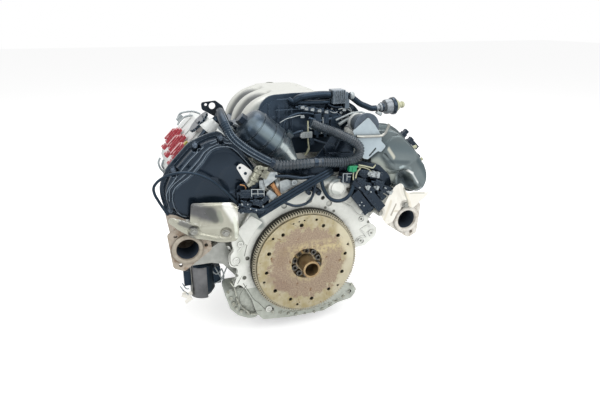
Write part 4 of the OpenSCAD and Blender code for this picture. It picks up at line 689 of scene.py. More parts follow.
for name, node in nodes.items():
    node.data.materials.clear()
    node.data.materials.append(FINISHES[OWN_FINISH.get(name, SLOT_OF[name])])
    if name not in NO_BEVEL:
        weld = node.modifiers.new("weld", "WELD")
        weld.merge_threshold = 0.02 * MM
        soften(node, 0.7, 40)
print("finished", len(nodes), "nodes")

# %% [markdown]
# ## Pressed and moulded faces
# Covers and heat shields are sheets with relief: a flange, a shoulder, beads and dishes. The
# outline is drawn in towards a middle point, ring by ring, and a height function lifts
# each point of that net. Lengths are in millimetres, seen from the gearbox end as [x, z].

# %% Outlines with round corners
def round_corners(points, radius, steps=5):
    """The closed outline with each corner replaced by a short curve."""
    p = [np.array(q, float) for q in points]
    out = []
    for i, b in enumerate(p):
        a, c = p[i - 1], p[(i + 1) % len(p)]
        cut_a = min(radius, 0.45 * np.linalg.norm(a - b))
        cut_c = min(radius, 0.45 * np.linalg.norm(c - b))
        start = b + cut_a * (a - b) / np.linalg.norm(a - b)
        end = b + cut_c * (c - b) / np.linalg.norm(c - b)
        for k in range(steps + 1):
            t = k / steps
            out.append((1 - t) ** 2 * start + 2 * t * (1 - t) * b + t ** 2 * end)
    return np.array(out)


def spaced(points, count, closed=True):
    """`count` points at even distances along a line of points."""
    line = np.vstack([points, points[:1]]) if closed else np.array(points, float)
    gone = np.r_[0, np.cumsum(np.linalg.norm(np.diff(line, axis=0), axis=1))]
    at = np.linspace(0, gone[-1], count, endpoint=not closed)
    return np.column_stack([np.interp(at, gone, line[:, 0]), np.interp(at, gone, line[:, 1])])


print("outlines are ready")

# %% Heights over a net of points
def distance_to(points, line):
    """Distance of each point to the nearest of the line's points."""
    return np.min(np.linalg.norm(points[:, None, :] - line[None, :, :], axis=2), axis=1)


def ramp(value, low, high):
    """0 below low, 1 above high, and a smooth rise between them."""
    t = np.clip((value - low) / (high - low), 0, 1)
    return t * t * (3 - 2 * t)


def bead(points, line, width, height):
    """A rounded ridge (or groove) along an open line."""
    return height * np.exp(-(distance_to(points, spaced(line, 160, False)) / width) ** 2)


def dome(points, centre, radius, height, power=2.0):
    away = np.linalg.norm(points - np.array(centre), axis=1) / radius
    return height * np.clip(1 - away ** power, 0, None)


print("heights are ready")

# %% A sheet or cover from its outline and its heights
def outward(name, points, faces):
    """A mesh from points in millimetres, with every face turned outwards."""
    mesh = bpy.data.meshes.new(name)
    mesh.from_pydata((np.array(points) * MM).tolist(), [], faces)
    work = bmesh.new()
    work.from_mesh(mesh)
    bmesh.ops.recalc_face_normals(work, faces=work.faces)
    work.to_mesh(mesh)
    work.free()
    return mesh


def relief(name, outline, middle, back, thick, height, around, rings_in):
    """Sheet or cover whose front stands height(points, rim distance) mm behind y = back."""
    rim = spaced(outline, around)
    shares = 1 - np.linspace(0, 1, rings_in) ** 1.5 * 0.995
    net = np.vstack([np.array(middle) + (rim - middle) * s for s in shares])
    inside = np.concatenate([distance_to(net[i:i + 4000], rim) for i in range(0, len(net), 4000)])
    front = back - height(net, inside)
    verts = np.column_stack([net[:, 0], front, net[:, 1]])
    rear = np.column_stack([net[:, 0], front + thick, net[:, 1]]) if thick else np.column_stack(
        [rim[:, 0], np.full(around, back), rim[:, 1]])
    count, offset = len(net), len(net)
    faces = []
    for layer, base, flip in ((rings_in, 0, False), (rings_in if thick else 0, offset, True)):
        for r in range(layer - 1):
            for k in range(around):
                j = (k + 1) % around
                quad = (base + r * around + k, base + r * around + j,
                        base + (r + 1) * around + j, base + (r + 1) * around + k)
                faces.append(quad[::-1] if flip else quad)
        if layer:
            cap = tuple(base + (layer - 1) * around + k for k in range(around))
            faces.append(cap[::-1] if flip else cap)
    for k in range(around):
        j = (k + 1) % around
        faces.append((j, k, offset + k, offset + j))
    if not thick:
        faces.append(tuple(offset + k for k in reversed(range(around))))
    mesh = outward(name, np.vstack([verts, rear]), faces)
    mesh.polygons.foreach_set("use_smooth", [len(f) == 4 for f in faces])
    return put_in_scene(name, mesh)


HALF = math.sqrt(0.5)  # the banks lean out by 45 degrees: sine and cosine alike


def from_bank(side, points):
    """Points [x, h] of a bank's own frame, as [x, z] of the engine."""
    p = np.array(points, float)
    return np.column_stack([side * (p[:, 0] + p[:, 1]) * HALF, (p[:, 1] - p[:, 0]) * HALF])


print("sheets can be pressed")

# %% [markdown]
# ## Chain covers
# Each bank ends in a cover over its cam chain: a bolted flange, a steep shoulder and a
# raised panel. Pressed beads run round the corner of the left one. Its outline is drawn in
# the bank's own frame and leaned over with it.

# %% Left chain cover: outline, bolts and beads
HEAD_FACE, FLANGE, BOLT_PAD = 61.7, 9.7, 15.6
left_outline = from_bank(-1, [
    [-105, 384], [-83, 399], [-66, 407], [-38, 418], [36, 417], [79, 402], [97, 385],
    [116, 356], [123, 344], [112, 330], [106, 300], [58, 250], [10, 232], [-46, 230],
    [-82, 238], [-97, 264], [-104, 310]])
left_bolts = from_bank(-1, [
    [-44, 404], [30, 403], [107, 345], [-94, 372], [-88, 252], [78, 280], [4, 246]])
inner_bead = np.array([
    [-126, 240], [-128, 251], [-133, 262], [-141, 274], [-152, 287], [-161, 299],
    [-172.8, 309], [-180.5, 313], [-195.5, 315], [-210.7, 314], [-223.4, 308], [-233, 298],
    [-243, 284], [-256, 270], [-267, 258], [-280, 247.5], [-295, 238.5], [-308, 228],
    [-314.2, 216.8], [-316.5, 201.3], [-314, 184.9], [-308.3, 170.5], [-299.1, 159.7],
    [-286.9, 155.4]])
middle_bead = np.array([
    [-160, 316], [-173.3, 320.6], [-187, 322.1], [-196.9, 321.8], [-210, 320.4],
    [-224, 314.8], [-238, 304.7], [-249, 290.1], [-264.6, 273.4], [-280, 260],
    [-294, 248.5], [-308, 239], [-320, 226.4], [-322.5, 213.3], [-322.5, 197.4]])
outer_bead = np.array([
    [-238.5, 317.1], [-254.3, 304.3], [-270.3, 290.2], [-286.2, 273.4], [-300, 256.4],
    [-313.6, 239.6], [-322.1, 229.2], [-327.8, 216.3], [-328.6, 203.2]])
top_bead = np.array([[-150, 318], [-170, 327], [-190, 330], [-206, 329], [-222, 323]])
print("left cover:", len(left_outline), "corners and", len(left_bolts), "bolts")

# %% Left chain cover: how high each point stands
def inside_of(points, ring):
    """1 for points within a closed line, 0 outside: a ray to the right crosses it oddly."""
    crossings = np.zeros(len(points), int)
    for (x1, z1), (x2, z2) in zip(ring, np.roll(ring, -1, axis=0)):
        spans = (points[:, 1] < z1) != (points[:, 1] < z2)
        with np.errstate(divide="ignore", invalid="ignore"):
            crossed_at = x1 + (points[:, 1] - z1) * (x2 - x1) / (z2 - z1)
        crossings += spans & (points[:, 0] < crossed_at)
    return (crossings % 2).astype(float)


def left_height(points, inside):
    body = FLANGE + 24.5 * ramp(inside, 7.5, 12.5)
    for bolt in left_bolts:
        away = np.linalg.norm(points - bolt, axis=1)
        body = np.maximum(body * ramp(away, 7.5, 12.0), BOLT_PAD * ramp(-away, -9.5, -7.5))
        body = np.maximum(body, FLANGE)
    ring = spaced(np.vstack([inner_bead, [
        [-240, 128], [-205, 150], [-160, 185], [-132, 215]]]), 400)
    edge, in_panel = distance_to(points, ring), inside_of(points, ring)
    lift = 4.2 * in_panel * ramp(edge, 0.5, 4.5)
    beads = (bead(points, inner_bead, 1.6, 2.6) + bead(points, middle_bead, 1.7, 2.8)
             + bead(points, outer_bead, 1.7, 3.2) + bead(points, top_bead, 1.8, 2.6))
    soft = (dome(points, (-196, 262), 56, 2.2) - dome(points, (-176, 236), 34, 4.5, 3.0)
            - dome(points, (-224, 206), 40, 5.0, 3.0))
    raised = ramp(body, 26, 34)
    return body + raised * (lift + beads + soft * in_panel * ramp(edge, 2, 14))


print("left heights are set")

# %% Left chain cover and the painted highlights on its bead crests
left_cover = relief(
    "chain_cover_left_pressed", round_corners(left_outline, 12), (-210, 228), HEAD_FACE, 0,
    left_height, 520, 130)
finished(left_cover, "cover_black", "cover_black", "chain_cover_left")


# Thin tubes of a paler tone along the bead crests paint their highlights.
CREST_RADIUS, SUNK = 1.1, 0.3
for word, line in (
        ("inner", inner_bead), ("middle", middle_bead), ("outer", outer_bead), ("top", top_bead)):
    route = spaced(line, 90, False)
    away = left_height(route, np.full(len(route), 30.0)) - SUNK
    crest = [Vector((x, HEAD_FACE - h, z)) * MM for (x, z), h in zip(route, away)]
    finished(swept_tube("bead_crest_" + word, crest, CREST_RADIUS * MM, 8), "bead_crest_highlight",
             "cover_black")
print("left cover:", len(left_cover.data.polygons), "faces")

# %% [markdown]
# ## Right chain cover
# The grey cover is a landscape: a plateau that falls away along a curved edge, a ridge, a
# hollow under it and a folded lip. Each is one term of the height, so one form can be
# moved without touching its neighbours.

# %% Right chain cover
right_outline = from_bank(1, [
    [-104, 372], [-86, 390], [-66, 405], [-38, 412], [40, 412], [78, 408], [108, 396],
    [128, 378], [138, 358], [137, 341], [126, 325], [104, 314], [66, 298], [4, 283],
    [-44, 290], [-80, 318], [-101, 346]])
right_bolts = from_bank(1, [
    [-50, 398], [20, 400], [96, 388], [-90, 366], [124, 341], [66, 306], [-40, 300]])
RIGHT_DROP = np.array([[212, 268], [226, 244], [238, 222], [247, 206], [247, 186], [244, 170]])
RIGHT_RIDGE = np.array([
    [262, 220], [272, 223], [281, 221], [291, 213], [299, 201], [306, 188], [314, 174],
    [322, 164]])
RIGHT_LIP = np.array([
    [216, 286], [224, 297], [236, 306], [250, 307.5], [265, 303], [281, 291], [296, 277],
    [308, 259], [318, 243], [328, 231], [338, 222]])


def right_height(points, inside):
    body = FLANGE + 18.0 * ramp(inside, 3.0, 13.0)
    drop = spaced(RIGHT_DROP, 120, False)
    nearest = drop[np.argmin(np.linalg.norm(points[:, None, :] - drop[None, :, :], axis=2),
                             axis=1)]
    beyond = np.linalg.norm(points - nearest, axis=1) * np.sign(
        (points[:, 0] - nearest[:, 0]) * 0.85 + (points[:, 1] - nearest[:, 1]) * 0.52)
    plateau = 13.0 * ramp(beyond, -13, 15)
    hollow = 12.5 * np.exp(-((points[:, 0] - 277 + 0.25 * (points[:, 1] - 190)) / 19) ** 2
                           - ((points[:, 1] - 184) / 25) ** 2) * ramp(
        -(points[:, 1] - (223 - 0.35 * np.abs(points[:, 0] - 280))), -3, 8)
    shape = (plateau - hollow + dome(points, (254, 272), 56, 3.5, 2.4)
             + bead(points, RIGHT_RIDGE, 5.5, 4.6) + dome(points, (322, 200), 40, 3.0)
             - bead(points, RIGHT_LIP + np.array([2.0, 3.0]), 1.8, 2.2)
             + bead(points, RIGHT_LIP, 1.8, 1.6) + dome(points, (313, 163), 20, 3.0)
             - bead(points, np.array([[218, 262], [232, 246], [246, 232]]), 3.0, 1.2))
    return body + ramp(body, 15, 27) * shape


right_cover = relief(
    "chain_cover_right_pressed", round_corners(right_outline, 12), (252, 228), HEAD_FACE, 0,
    right_height, 520, 130)
finished(right_cover, "cover_grey_painted_light_and_shade", "cover_grey", "chain_cover_right")
print("right cover:", len(right_cover.data.polygons), "faces")

# %% [markdown]
# ## Small solid forms
# Plugs, clips, coils and bolts are built from a few blocks, rods and turned shapes that sit
# in one another. `Forms` gathers them in one mesh; a bevel afterwards rounds their edges.

# %% A collector of small forms
class Forms:
    """Blocks, rods and turned shapes in one mesh; all lengths in millimetres."""

    def __init__(self):
        self.work = bmesh.new()

    def block(self, low, high, place=Matrix()):
        low, high = Vector(low), Vector(high)
        size = Matrix.Diagonal((*(high - low), 1))
        bmesh.ops.create_cube(self.work, size=1,
                              matrix=place @ Matrix.Translation((low + high) / 2) @ size)
        return self

    def rod(self, start, end, radius, far_radius=None, sides=24):
        start, end = Vector(start), Vector(end)
        along = end - start
        place = Matrix.Translation((start + end) / 2) @ along.to_track_quat(
            "Z", "Y").to_matrix().to_4x4()
        bmesh.ops.create_cone(
            self.work, cap_ends=True, segments=sides, radius1=radius,
            radius2=radius if far_radius is None else far_radius, depth=along.length,
            matrix=place)
        return self

    def turned(self, profile, place=Matrix(), sides=48, ring=False):
        """A profile of (distance along the axis, radius) turned about the local z axis."""
        hoops = []
        for z, r in profile:
            hoops.append([self.work.verts.new(place @ Vector((
                r * math.cos(2 * math.pi * k / sides), r * math.sin(2 * math.pi * k / sides), z)))
                for k in range(sides)])
        return self.skinned(hoops, ring)

    def skinned(self, hoops, ring=False):
        """Smooth faces from hoop to hoop, closed at the ends or into a ring."""
        for a, b in zip(hoops, hoops[1:] + hoops[:1] if ring else hoops[1:]):
            for k in range(len(a)):
                j = (k + 1) % len(a)
                self.work.faces.new((a[k], a[j], b[j], b[k])).smooth = True
        if not ring:
            self.work.faces.new(hoops[0][::-1])
            self.work.faces.new(hoops[-1])
        return self

    def tube(self, points, radius, sides=10):
        """A round strand along a smooth route through the points, a hoop each 2.5 mm."""
        line = [Vector(p) / MM for p in smooth_route([Vector(p) * MM for p in points],
                                                     2.5 * MM)]
        side, hoops = Vector((0.1, 1, 0.05)), []
        for k, p in enumerate(line):
            along = (line[min(k + 1, len(line) - 1)] - line[max(k - 1, 0)]).normalized()
            side = (side - along * side.dot(along)).normalized()
            other = along.cross(side)
            hoops.append([self.work.verts.new(
                p + radius * (math.cos(2 * math.pi * j / sides) * side
                              + math.sin(2 * math.pi * j / sides) * other))
                for j in range(sides)])
        return self.skinned(hoops)

    def plug(self, x, y, z, turn, long, wide, tail, deep):
        """A connector with a collar, a latch, two ribs and a boot at its tail."""
        p = at(x, y, z, turn)
        self.block((-long / 2, -deep, -wide / 2), (long / 2 - 5, deep, wide / 2), p)
        self.block((long / 2 - 7, -deep - 1.4, -wide / 2 - 1.4),
                   (long / 2, deep + 1.4, wide / 2 + 1.4), p)
        self.block((-long / 2 + 3, -deep - 2.6, -2.6), (long / 2 - 2, -deep + 1, 2.6), p)
        for k in (-1, 1):
            self.block((-long / 2 + 2, -deep - 1.2, k * wide * 0.36 - 0.9),
                       (long / 2 - 8, -deep + 1, k * wide * 0.36 + 0.9), p)
        self.rod(p @ Vector((1 - long / 2, 0, 0)), p @ Vector((-long / 2 - tail, 0, 0)),
                 min(4.6, wide * 0.34), min(3.2, wide * 0.24), 14)
        return self

    def sheet(self, outline, radius, steps, y, thick):
        """A flat sheet with this outline [x, z], its corners rounded, from y to y + thick."""
        outline = round_corners(outline, radius, steps)
        front = [self.work.verts.new((x, y, z)) for x, z in outline]
        rear = [self.work.verts.new((x, y + thick, z)) for x, z in outline]
        self.work.faces.new(front)
        self.work.faces.new(rear[::-1])
        for k in range(len(front)):
            j = (k + 1) % len(front)
            self.work.faces.new((front[j], front[k], rear[k], rear[j]))
        return self

    def made(self, name, look, slot, *replaced, round_by=0.5):
        """The forms as one finished piece; its edges are rounded by `round_by` mm."""
        bmesh.ops.recalc_face_normals(self.work, faces=self.work.faces)
        mesh = bpy.data.meshes.new(name)
        self.work.to_mesh(mesh)
        self.work.free()
        mesh.transform(Matrix.Scale(MM, 4))
        piece = put_in_scene(name, mesh)
        if round_by:
            soften(piece, round_by, 38)
        else:
            mesh.set_sharp_from_angle(angle=math.radians(50))
        return finished(piece, look, slot, *replaced)


def about(axis, degrees):
    return Matrix.Rotation(math.radians(degrees), 4, axis)


def at(x, y, z, turn=0.0, tip=0.0):
    """Place turned about Y by `turn` degrees (right side down) and tipped about Z."""
    return Matrix.Translation((x, y, z)) @ about("Y", turn) @ about("Z", tip)


def along_y(x, y, z):
    """A place whose own z axis points to the gearbox end, away from the belt."""
    return Matrix.Translation((x, y, z)) @ about("X", 90)


print("forms are ready")

# %% [markdown]
# ## Breather hose
# A corrugated hose leads from the left cam cover down into the valley. Its rings are a wave
# in the radius along one stretch. Three thin pale lines along it paint its highlights.

# %% Hoses with rings
def hose(name, points, radius, slot, *replaced, step=0.0006, sides=20, look=None):
    """A hose along the points; it looks like its slot unless `look` says otherwise."""
    route = smooth_route([Vector(p) * MM for p in points], step)
    piece = swept_tube(name, route, radius, sides)
    print(name, "is", round(route_length(route) / MM), "mm long")
    return finished(piece, look or slot, slot, *replaced)


def ribbed(spans, base, smooth=0.0):
    """Radius in metres along a hose with several ribbed spans (start, end, height, pitch)."""
    def radius(gone):
        s = gone / MM
        for start, end, height, pitch in spans:
            if start <= s <= end:
                wave = 0.5 + 0.5 * math.cos(2 * math.pi * (s - start) / pitch)
                return (base + height * (wave ** 0.7 - 0.35)) * MM
        return (base + smooth) * MM
    return radius


BREATHER = [
    [-194.8, 104, 359.6], [-192, 104, 362.4], [-188.6, 103, 366.4], [-186, 97, 377],
    [-187, 80, 384], [-190, 58, 382], [-190, 34, 374], [-187, 13, 360], [-180, 3, 344],
    [-166, 2, 328], [-142, 2, 308], [-112, 2, 288], [-88, 2, 274]]
hose("breather_hose_ribbed", BREATHER, ribbed([(104, 240, 1.7, 5.2)], 9.8), "rubber",
     "breather_hose")
# Three thin pale lines paint highlights along the hose.
for word, (dx, dy, dz) in (
        ("upper", (6.4, -7.4, 4.6)), ("middle", (1.2, -10.6, -0.4)),
        ("lower", (-5.2, -8.6, -4.4))):
    hose("breather_highlight_line_" + word, [[x + dx, y + dy, z + dz] for x, y, z in BREATHER[5:]],
         ribbed([(6, 140, 1.0, 5.2)], 0.9), "rubber", step=0.0013, sides=8, look="hose_highlight_line")

# %% [markdown]
# ## Harness conduit
# The wires run in a ribbed conduit that lies across the valley and climbs to the intake.
# Its rings are coarse at one end and fine at the other, with smooth cuffs at the joints.

# %% Conduit and cuffs
hose("harness_conduit_ribbed", [
    [-87.4, 2, 273.6], [-80, 2, 269.6], [-64, 2, 265.4], [-42, 2, 264], [-14, 2, 264],
    [14, 2, 264], [44, 2, 262], [72, 2, 260], [98, 0, 260], [118, -3, 265], [130, -5, 275],
    [133, -5, 290], [125, -4, 303], [111, 3, 313], [97, 16, 320], [82, 34, 327],
    [56, 50, 336], [30, 56, 348]],
    ribbed([(4, 96, 2.6, 8.6), (122, 196, 2.8, 6.2), (197, 420, 1.9, 4.8)], 10.8, -0.6),
    "harness", "harness_conduit", look="conduit")
cuffs = Forms()
for start, end, radius in (
        ((-93, 1.5, 277.4), (-84, 2.2, 272), 12.2), ((16, 2, 264), (26, 2, 263.6), 11.8),
        ((34, 2, 263), (38, 2, 262.8), 11.8)):
    cuffs.rod(start, end, radius)
cuffs.made("conduit_cuffs", "plastic_black", "plastic_black")
print("conduit has its cuffs")

# %% [markdown]
# ## Small hoses
# Vapour, purge and coolant hoses are plain rubber pipes. The braided one gets a ripple in
# its radius, so fine that it reads as woven.

# %% Vapour, purge, coolant and braided hoses
hose("vent_hose", [[2, 120.6, 388], [2, 112, 391], [14, 102, 403], [34, 100, 407],
                   [60, 100, 409], [80, 100, 409], [95.6, 100, 408]], 9 * MM,
     "rubber", "vapour_hoses", step=0.003)
hose(
    "purge_hose", [[132.5, 100, 404], [141, 100, 404], [153, 100, 400], [166, 100, 391],
    [180, 100, 381], [196, 100, 374], [212, 100, 367.4], [225.6, 100, 367]], ribbed([], 7.6),
    "rubber", step=0.003)
hose("coolant_hose_soft", [[119.8, 19, 194], [127, 19, 194], [144, 19, 189], [160, 19, 187],
                           [176, 19, 184], [190, 19, 181]], 9.5 * MM,
     "rubber", "coolant_hose", step=0.003)
hose(
    "braided_hose", [[-10, 112, 400], [-4, 108, 396], [8, 107, 393], [20, 106, 391.5],
    [40, 106, 390], [62, 106, 389], [88, 106, 388.8], [97, 106, 389]],
    ribbed([(20, 90, 0.5, 2.4)], 6.2), "harness", step=0.0005)
print("small hoses are laid")

# %% [markdown]
# ## Cables
# A bundle of three cables slants across the valley, one loop hangs at its right, and the
# oxygen sensor's cable arches over the left cover. That last one is a true cord, so its
# route, length and thickness are handed over too.

# %% Cable bundle and loop
for shift, word, radius, stands_for in (
        (-7.5, "left", 3.8, ()), (0.0, "middle", 4.0, ("cable_bundle",)),
        (7.5, "right", 3.8, ())):
    off = Vector((-0.427, 0, 0.904)) * shift
    route = [Vector(p) + off for p in (
        [-126, 2, 148], [-104, 0, 160], [-64, 0, 180], [-22, 0, 201], [20, 0, 221],
        [46, 0, 232], [66, 6, 240])]
    strand = swept_tube("bundle_" + word, [p * MM for p in route], radius * MM, 14)
    finished(strand, "harness", "harness", *stands_for)
hose(
    "loop_cable_soft", [[40, 8, 216], [40, 3, 206], [45, 1, 190], [56, 0, 173], [72, 0, 162],
    [90, 0, 160], [106, 0, 166], [117, 0, 180], [123, 3, 196], [126, 5, 212], [126, 5, 231.7]],
    ribbed([(20, 150, 0.35, 5.0)], 4.6), "harness", "loop_cable", step=0.001)
print("cables are laid")

# %% Oxygen sensor cable
CABLE_RADIUS = 3.2 * MM
LAMBDA = [[-161.3, 12, 178], [-168, 12, 178], [-184, 2, 198], [-204, 0, 222],
          [-232, 0, 248], [-262, 0, 264], [-292, 0, 270], [-318, 0, 268], [-340, 2, 258],
          [-354, 6, 242], [-354, 10, 224], [-346, 10, 204], [-336, 8, 184], [-330, 8, 172]]
lambda_route = smooth_route([Vector(p) * MM for p in LAMBDA], 0.004)
lambda_wire = swept_tube("lambda_cable_soft", lambda_route, CABLE_RADIUS, 14)
finished(lambda_wire, "harness", "harness", "lambda_cable")
print("lambda cable:", round(route_length(lambda_route), 3), "m")

# %% [markdown]
# ## Oil filter
# The filter leans out of the valley: a ribbed foot that widens towards a collar, and a
# screwed cap with grooves and a hexagon. Both are turned, so a profile of a few points
# gives the whole form. Light streaks lie along one side.

# %% Oil filter: place and profile
filter_place = at(-6.4, 70, 245.4, -48)
foot_profile = [(-6, 13), (8, 14)]
for k in range(10):
    r = 15.0 + 2.8 * k
    foot_profile += [(10 + 5 * k, r), (11 + 5 * k, r + 1.6), (13 + 5 * k, r + 2.4),
                     (14 + 5 * k, r + 1.4)]
foot_profile += [(58, 42.5), (62, 43), (63, 46), (70, 46.5), (71, 44), (78, 44)]
print("filter foot:", len(foot_profile), "points in its profile")

# %% Oil filter: streaks along its lit side
def on_filter(t, r):
    """A point at t along the filter and r out from its axis, on the lit side."""
    return filter_place @ Vector((0.3 * r, -0.95 * r, t))


toned("filter_foot", "foot_lit",
    (on_filter(6, 15), on_filter(60, 41), (20, 20, 20), "66747a", 0.7),
    (on_filter(8, 16), on_filter(60, 42), (8, 11, 8), "e2eae8", 0.95),
    (on_filter(60, 43), on_filter(76, 46), (10, 13, 10), "b4bfc0", 0.85))
toned("filter_black", "cap_lit",
    (on_filter(80, 48), on_filter(138, 46), (19, 22, 19), "7f8c8e", 0.75),
    (on_filter(142, 44), on_filter(166, 36), (16, 20, 16), "6c777c", 0.65))
print("filter is toned")

# %% Oil filter: foot, cap and nut
foot = Forms().turned(foot_profile, filter_place, 72)
foot.block((40, -8, 60), (54, 8, 76), filter_place @ about("Z", -18))
foot.block((-34, 76, 152), (28, 116, 244)).block((-43, 70, 152), (37, 120, 161))
foot.made("filter_housing_ribbed", "foot_lit", "plastic_black", "oil_filter_housing")
cap = Forms().turned([
    (78.2, 43), (79, 46.2), (80, 47.4), (82, 47.6), (83.4, 44.2), (86, 44.2), (87.4, 47.4),
    (96, 47.6), (106, 47.6), (107.6, 44.2), (111, 43.8), (112.6, 47.4), (124, 47.4),
    (134, 47.2), (142, 47.0), (143.4, 44.0), (145.6, 43.8), (147, 46.0), (155, 44.2),
    (162, 41.0), (167, 36.4), (170.6, 29.0), (172.6, 19.0), (173.6, 11.0), (174, 3)],
    filter_place, 88)
cap.made("filter_cap_turned", "cap_lit", "plastic_black", "oil_filter_cap", round_by=0)
nut = Forms().rod(filter_place @ Vector((0, 0, 171)), filter_place @ Vector((0, 0, 187)),
                  15.0, 14.0, 6)
nut.made("filter_cap_nut", "plastic_black", "plastic_black", round_by=1.2)
print("filter is in place")

# %% [markdown]
# ## Ignition coils
# A red coil sits over each spark plug: a round stick, a stepped, ribbed body and a plug at
# its end. One function builds it in its own frame, and the bank's frame carries it to each
# cylinder. Pale pink blocks on the tops paint highlights on the red.

# %% Ignition coils: long sticks in three steps
def coil(place, forms):
    forms.rod(place @ Vector((0, 0, -18)), place @ Vector((0, 0, 3)), 14.2, 14.2)
    forms.block((-23, -12, 1), (38, 12, 9), place).block((-19, -10, 8), (31, 10, 15), place)
    forms.block((-13, -9, 15), (23, 9, 19), place).block((36, -9, 2), (50, 9, 11.6), place)
    forms.block((-10, -4, 18), (26, 4, 22.4), place).block((42, -3, 10), (49, 3, 14.6), place)
    for x in (-14, -4, 6, 16):
        forms.block((x, -11, 3), (x + 3, 11, 15.8), place)


COVER_TOP = 386
CYLINDER_Y = (136.5, 224.5, 312.5)
for side, word in ((-1, "left"), (1, "right")):
    sticks, tops = Forms(), Forms()
    for y in CYLINDER_Y:
        frame_of_bank = Matrix(((side * HALF, 0, side * HALF, 0), (0, 1, 0, 0),
                                (-HALF, 0, HALF, 0), (0, 0, 0, 1)))
        place = frame_of_bank @ Matrix.Translation((-9, y, COVER_TOP + 4.4))
        coil(place, sticks)
        tops.block((-9, -3.4, 21.6), (25, 3.4, 23.4), place).block((-12, -8, 18.4),
                                                                  (-4, 8, 20), place)
        tops.block((12, -8, 18.4), (21, 8, 20), place).block((38, -6, 11), (49, 6, 12.6), place)
        tops.block((-22, -11, 8), (-20, 11, 10), place).block((26, -9, 8.4), (36, 9, 10), place)
    sticks.made("coils_" + word, "coil_red", "coil_red", "ignition_coils_" + word)
    # The pale pink tops paint highlights on the coils.
    tops.made("coil_tops_" + word, "coil_red_highlight", "coil_red", round_by=0.4)
print("coils are in place")

# %% [markdown]
# ## Heat shields
# Thin sheets keep the heat of the exhaust away from the covers. They are dished round their
# bolts and folded at the edges. The net is that of the covers, with a second layer behind
# it for the sheet's back.

# %% Left heat shield
SHIELD_BACK = 3.8
SHIELD_BOLTS = np.array([[202, 112], [276, 126]], float)


def dish(points, bolts):
    """The shallow dish pressed round each bolt."""
    near = np.min([np.linalg.norm(points - b, axis=1) for b in bolts], axis=0)
    return 2.6 * ramp(near, 10, 17) + 0.5 * ramp(-near, -9.5, -8.5)


left_bolts_at = SHIELD_BOLTS * (-1, 1)


def left_shield_height(points, inside):
    x, z = points[:, 0], points[:, 1]
    apron = ramp(-(x + z * 0.12), 186, 212) * ramp(-(z - 150), 0, 26)
    upright = ramp(x, -202, -180)
    return (dish(points, left_bolts_at) + 9.0 * upright * ramp(z, 96, 120) * ramp(-z, -186, -176)
            - 2.0 * apron + 5.0 * ramp(z, 172, 190) * ramp(inside, 0, 5)
            + bead(points, np.array([[-322, 164], [-296, 140], [-262, 116], [-226, 102],
                                     [-192, 99]]), 4.0, 2.2)
            + bead(points, np.array([[-260, 186], [-252, 160], [-262, 140]]), 7.0, 3.4))


left_shield = relief(
    "heat_shield_left_pressed", round_corners([[-278, 196], [-184, 187], [-174, 180], [-173, 96],
    [-180, 88], [-214, 89], [-246, 100], [-276, 108], [-307, 131], [-334, 158], [-324, 169],
    [-300, 151], [-284, 146]], 7), (-232, 132), SHIELD_BACK, 1.6, left_shield_height, 420, 90)
finished(left_shield, "shield_painted_reflections", "shield_sheet", "heat_shield_left")


print("left shield:", len(left_shield.data.polygons), "faces")

# %% Right heat shield
def right_shield_height(points, inside):
    x, z = points[:, 0], points[:, 1]
    fold = bead(points, np.array([[250, 186], [256, 164], [266, 146], [284, 134]]), 7.0, 5.0)
    wing = 7.0 * ramp(x + 0.3 * z, 345, 395)
    return dish(points, SHIELD_BOLTS) + fold + wing + 4.0 * ramp(z, 150, 184) * ramp(
        -x, -268, -236) + bead(points, np.array([[232, 92], [236, 120], [246, 142]]), 8.0, 3.0)


right_shield = relief(
    "heat_shield_right_pressed", round_corners([[210, 126], [226, 158], [238, 181], [250, 190],
    [264, 184], [272, 166], [280, 158], [304, 158], [342, 156], [330, 142], [310, 120], [297, 112],
    [290, 124], [268, 122], [252, 104], [242, 82], [222, 76], [206, 102]], 6), (248, 138),
    SHIELD_BACK, 1.6, right_shield_height, 420, 90)
finished(right_shield, "shield_white_fold_light_and_shade", "shield_sheet", "heat_shield_right")

print("right shield:", len(right_shield.data.polygons), "faces")

# %% [markdown]
# ## Bolts
# A flange bolt is a collar, a hexagon and a dimple in its head. Each is turned further
# than the last, because nobody lines up the flats when tightening bolts.

# %% Flange bolts with a collar, a hexagon and a dimple
def hex_bolt(forms, x, y, z, size, turn):
    """A bolt head at this place, 15 mm across its collar at size 1."""
    forms.turned([(0, 7.4 * size), (1.2, 7.4 * size), (1.8, 5.6 * size)], along_y(x, y, z), 28)
    head = along_y(x, y, z) @ about("Z", turn)
    forms.turned([(1.6, 5.4 * size), (5.6, 5.4 * size), (6.2, 4.7 * size), (6.2, 3.4 * size),
                  (5.4, 3.0 * size)], head, 6)


cover_bolts = Forms()
for k, (x, z) in enumerate(left_bolts):
    hex_bolt(cover_bolts, x, HEAD_FACE - 15.5, z, 0.86, 17.0 * k)
for k, (x, z) in enumerate(right_bolts + np.array([[-2, -2], [0, 0], [-5, -5], [4, 0], [-7, 0],
                                                   [0, 4], [4, 4]])):
    hex_bolt(cover_bolts, x, HEAD_FACE - 21.5, z, 0.66, 17.0 * k)
cover_bolts.made("chain_cover_bolts", "bolt_blue", "steel", round_by=0.25)
shield_screws = Forms()
for k, (x, z) in enumerate(np.vstack([left_bolts_at, SHIELD_BOLTS])):
    hex_bolt(shield_screws, x, SHIELD_BACK - 1.8, z, 1.15, 23.0 * k)
shield_screws.made("heat_shield_bolts", "steel", "steel", "flange_bolts", round_by=0.25)
print("shields and bolts are on")

# %% [markdown]
# ## Valley: trays, plugs and loose wires
# Behind the conduit lie black cable trays. Plugs hang on them, some with light faces, and
# thin wires join them. The trays are flat sheets cut to an outline, and every plug is the
# same small form with other measures, so a row of numbers is enough for each.

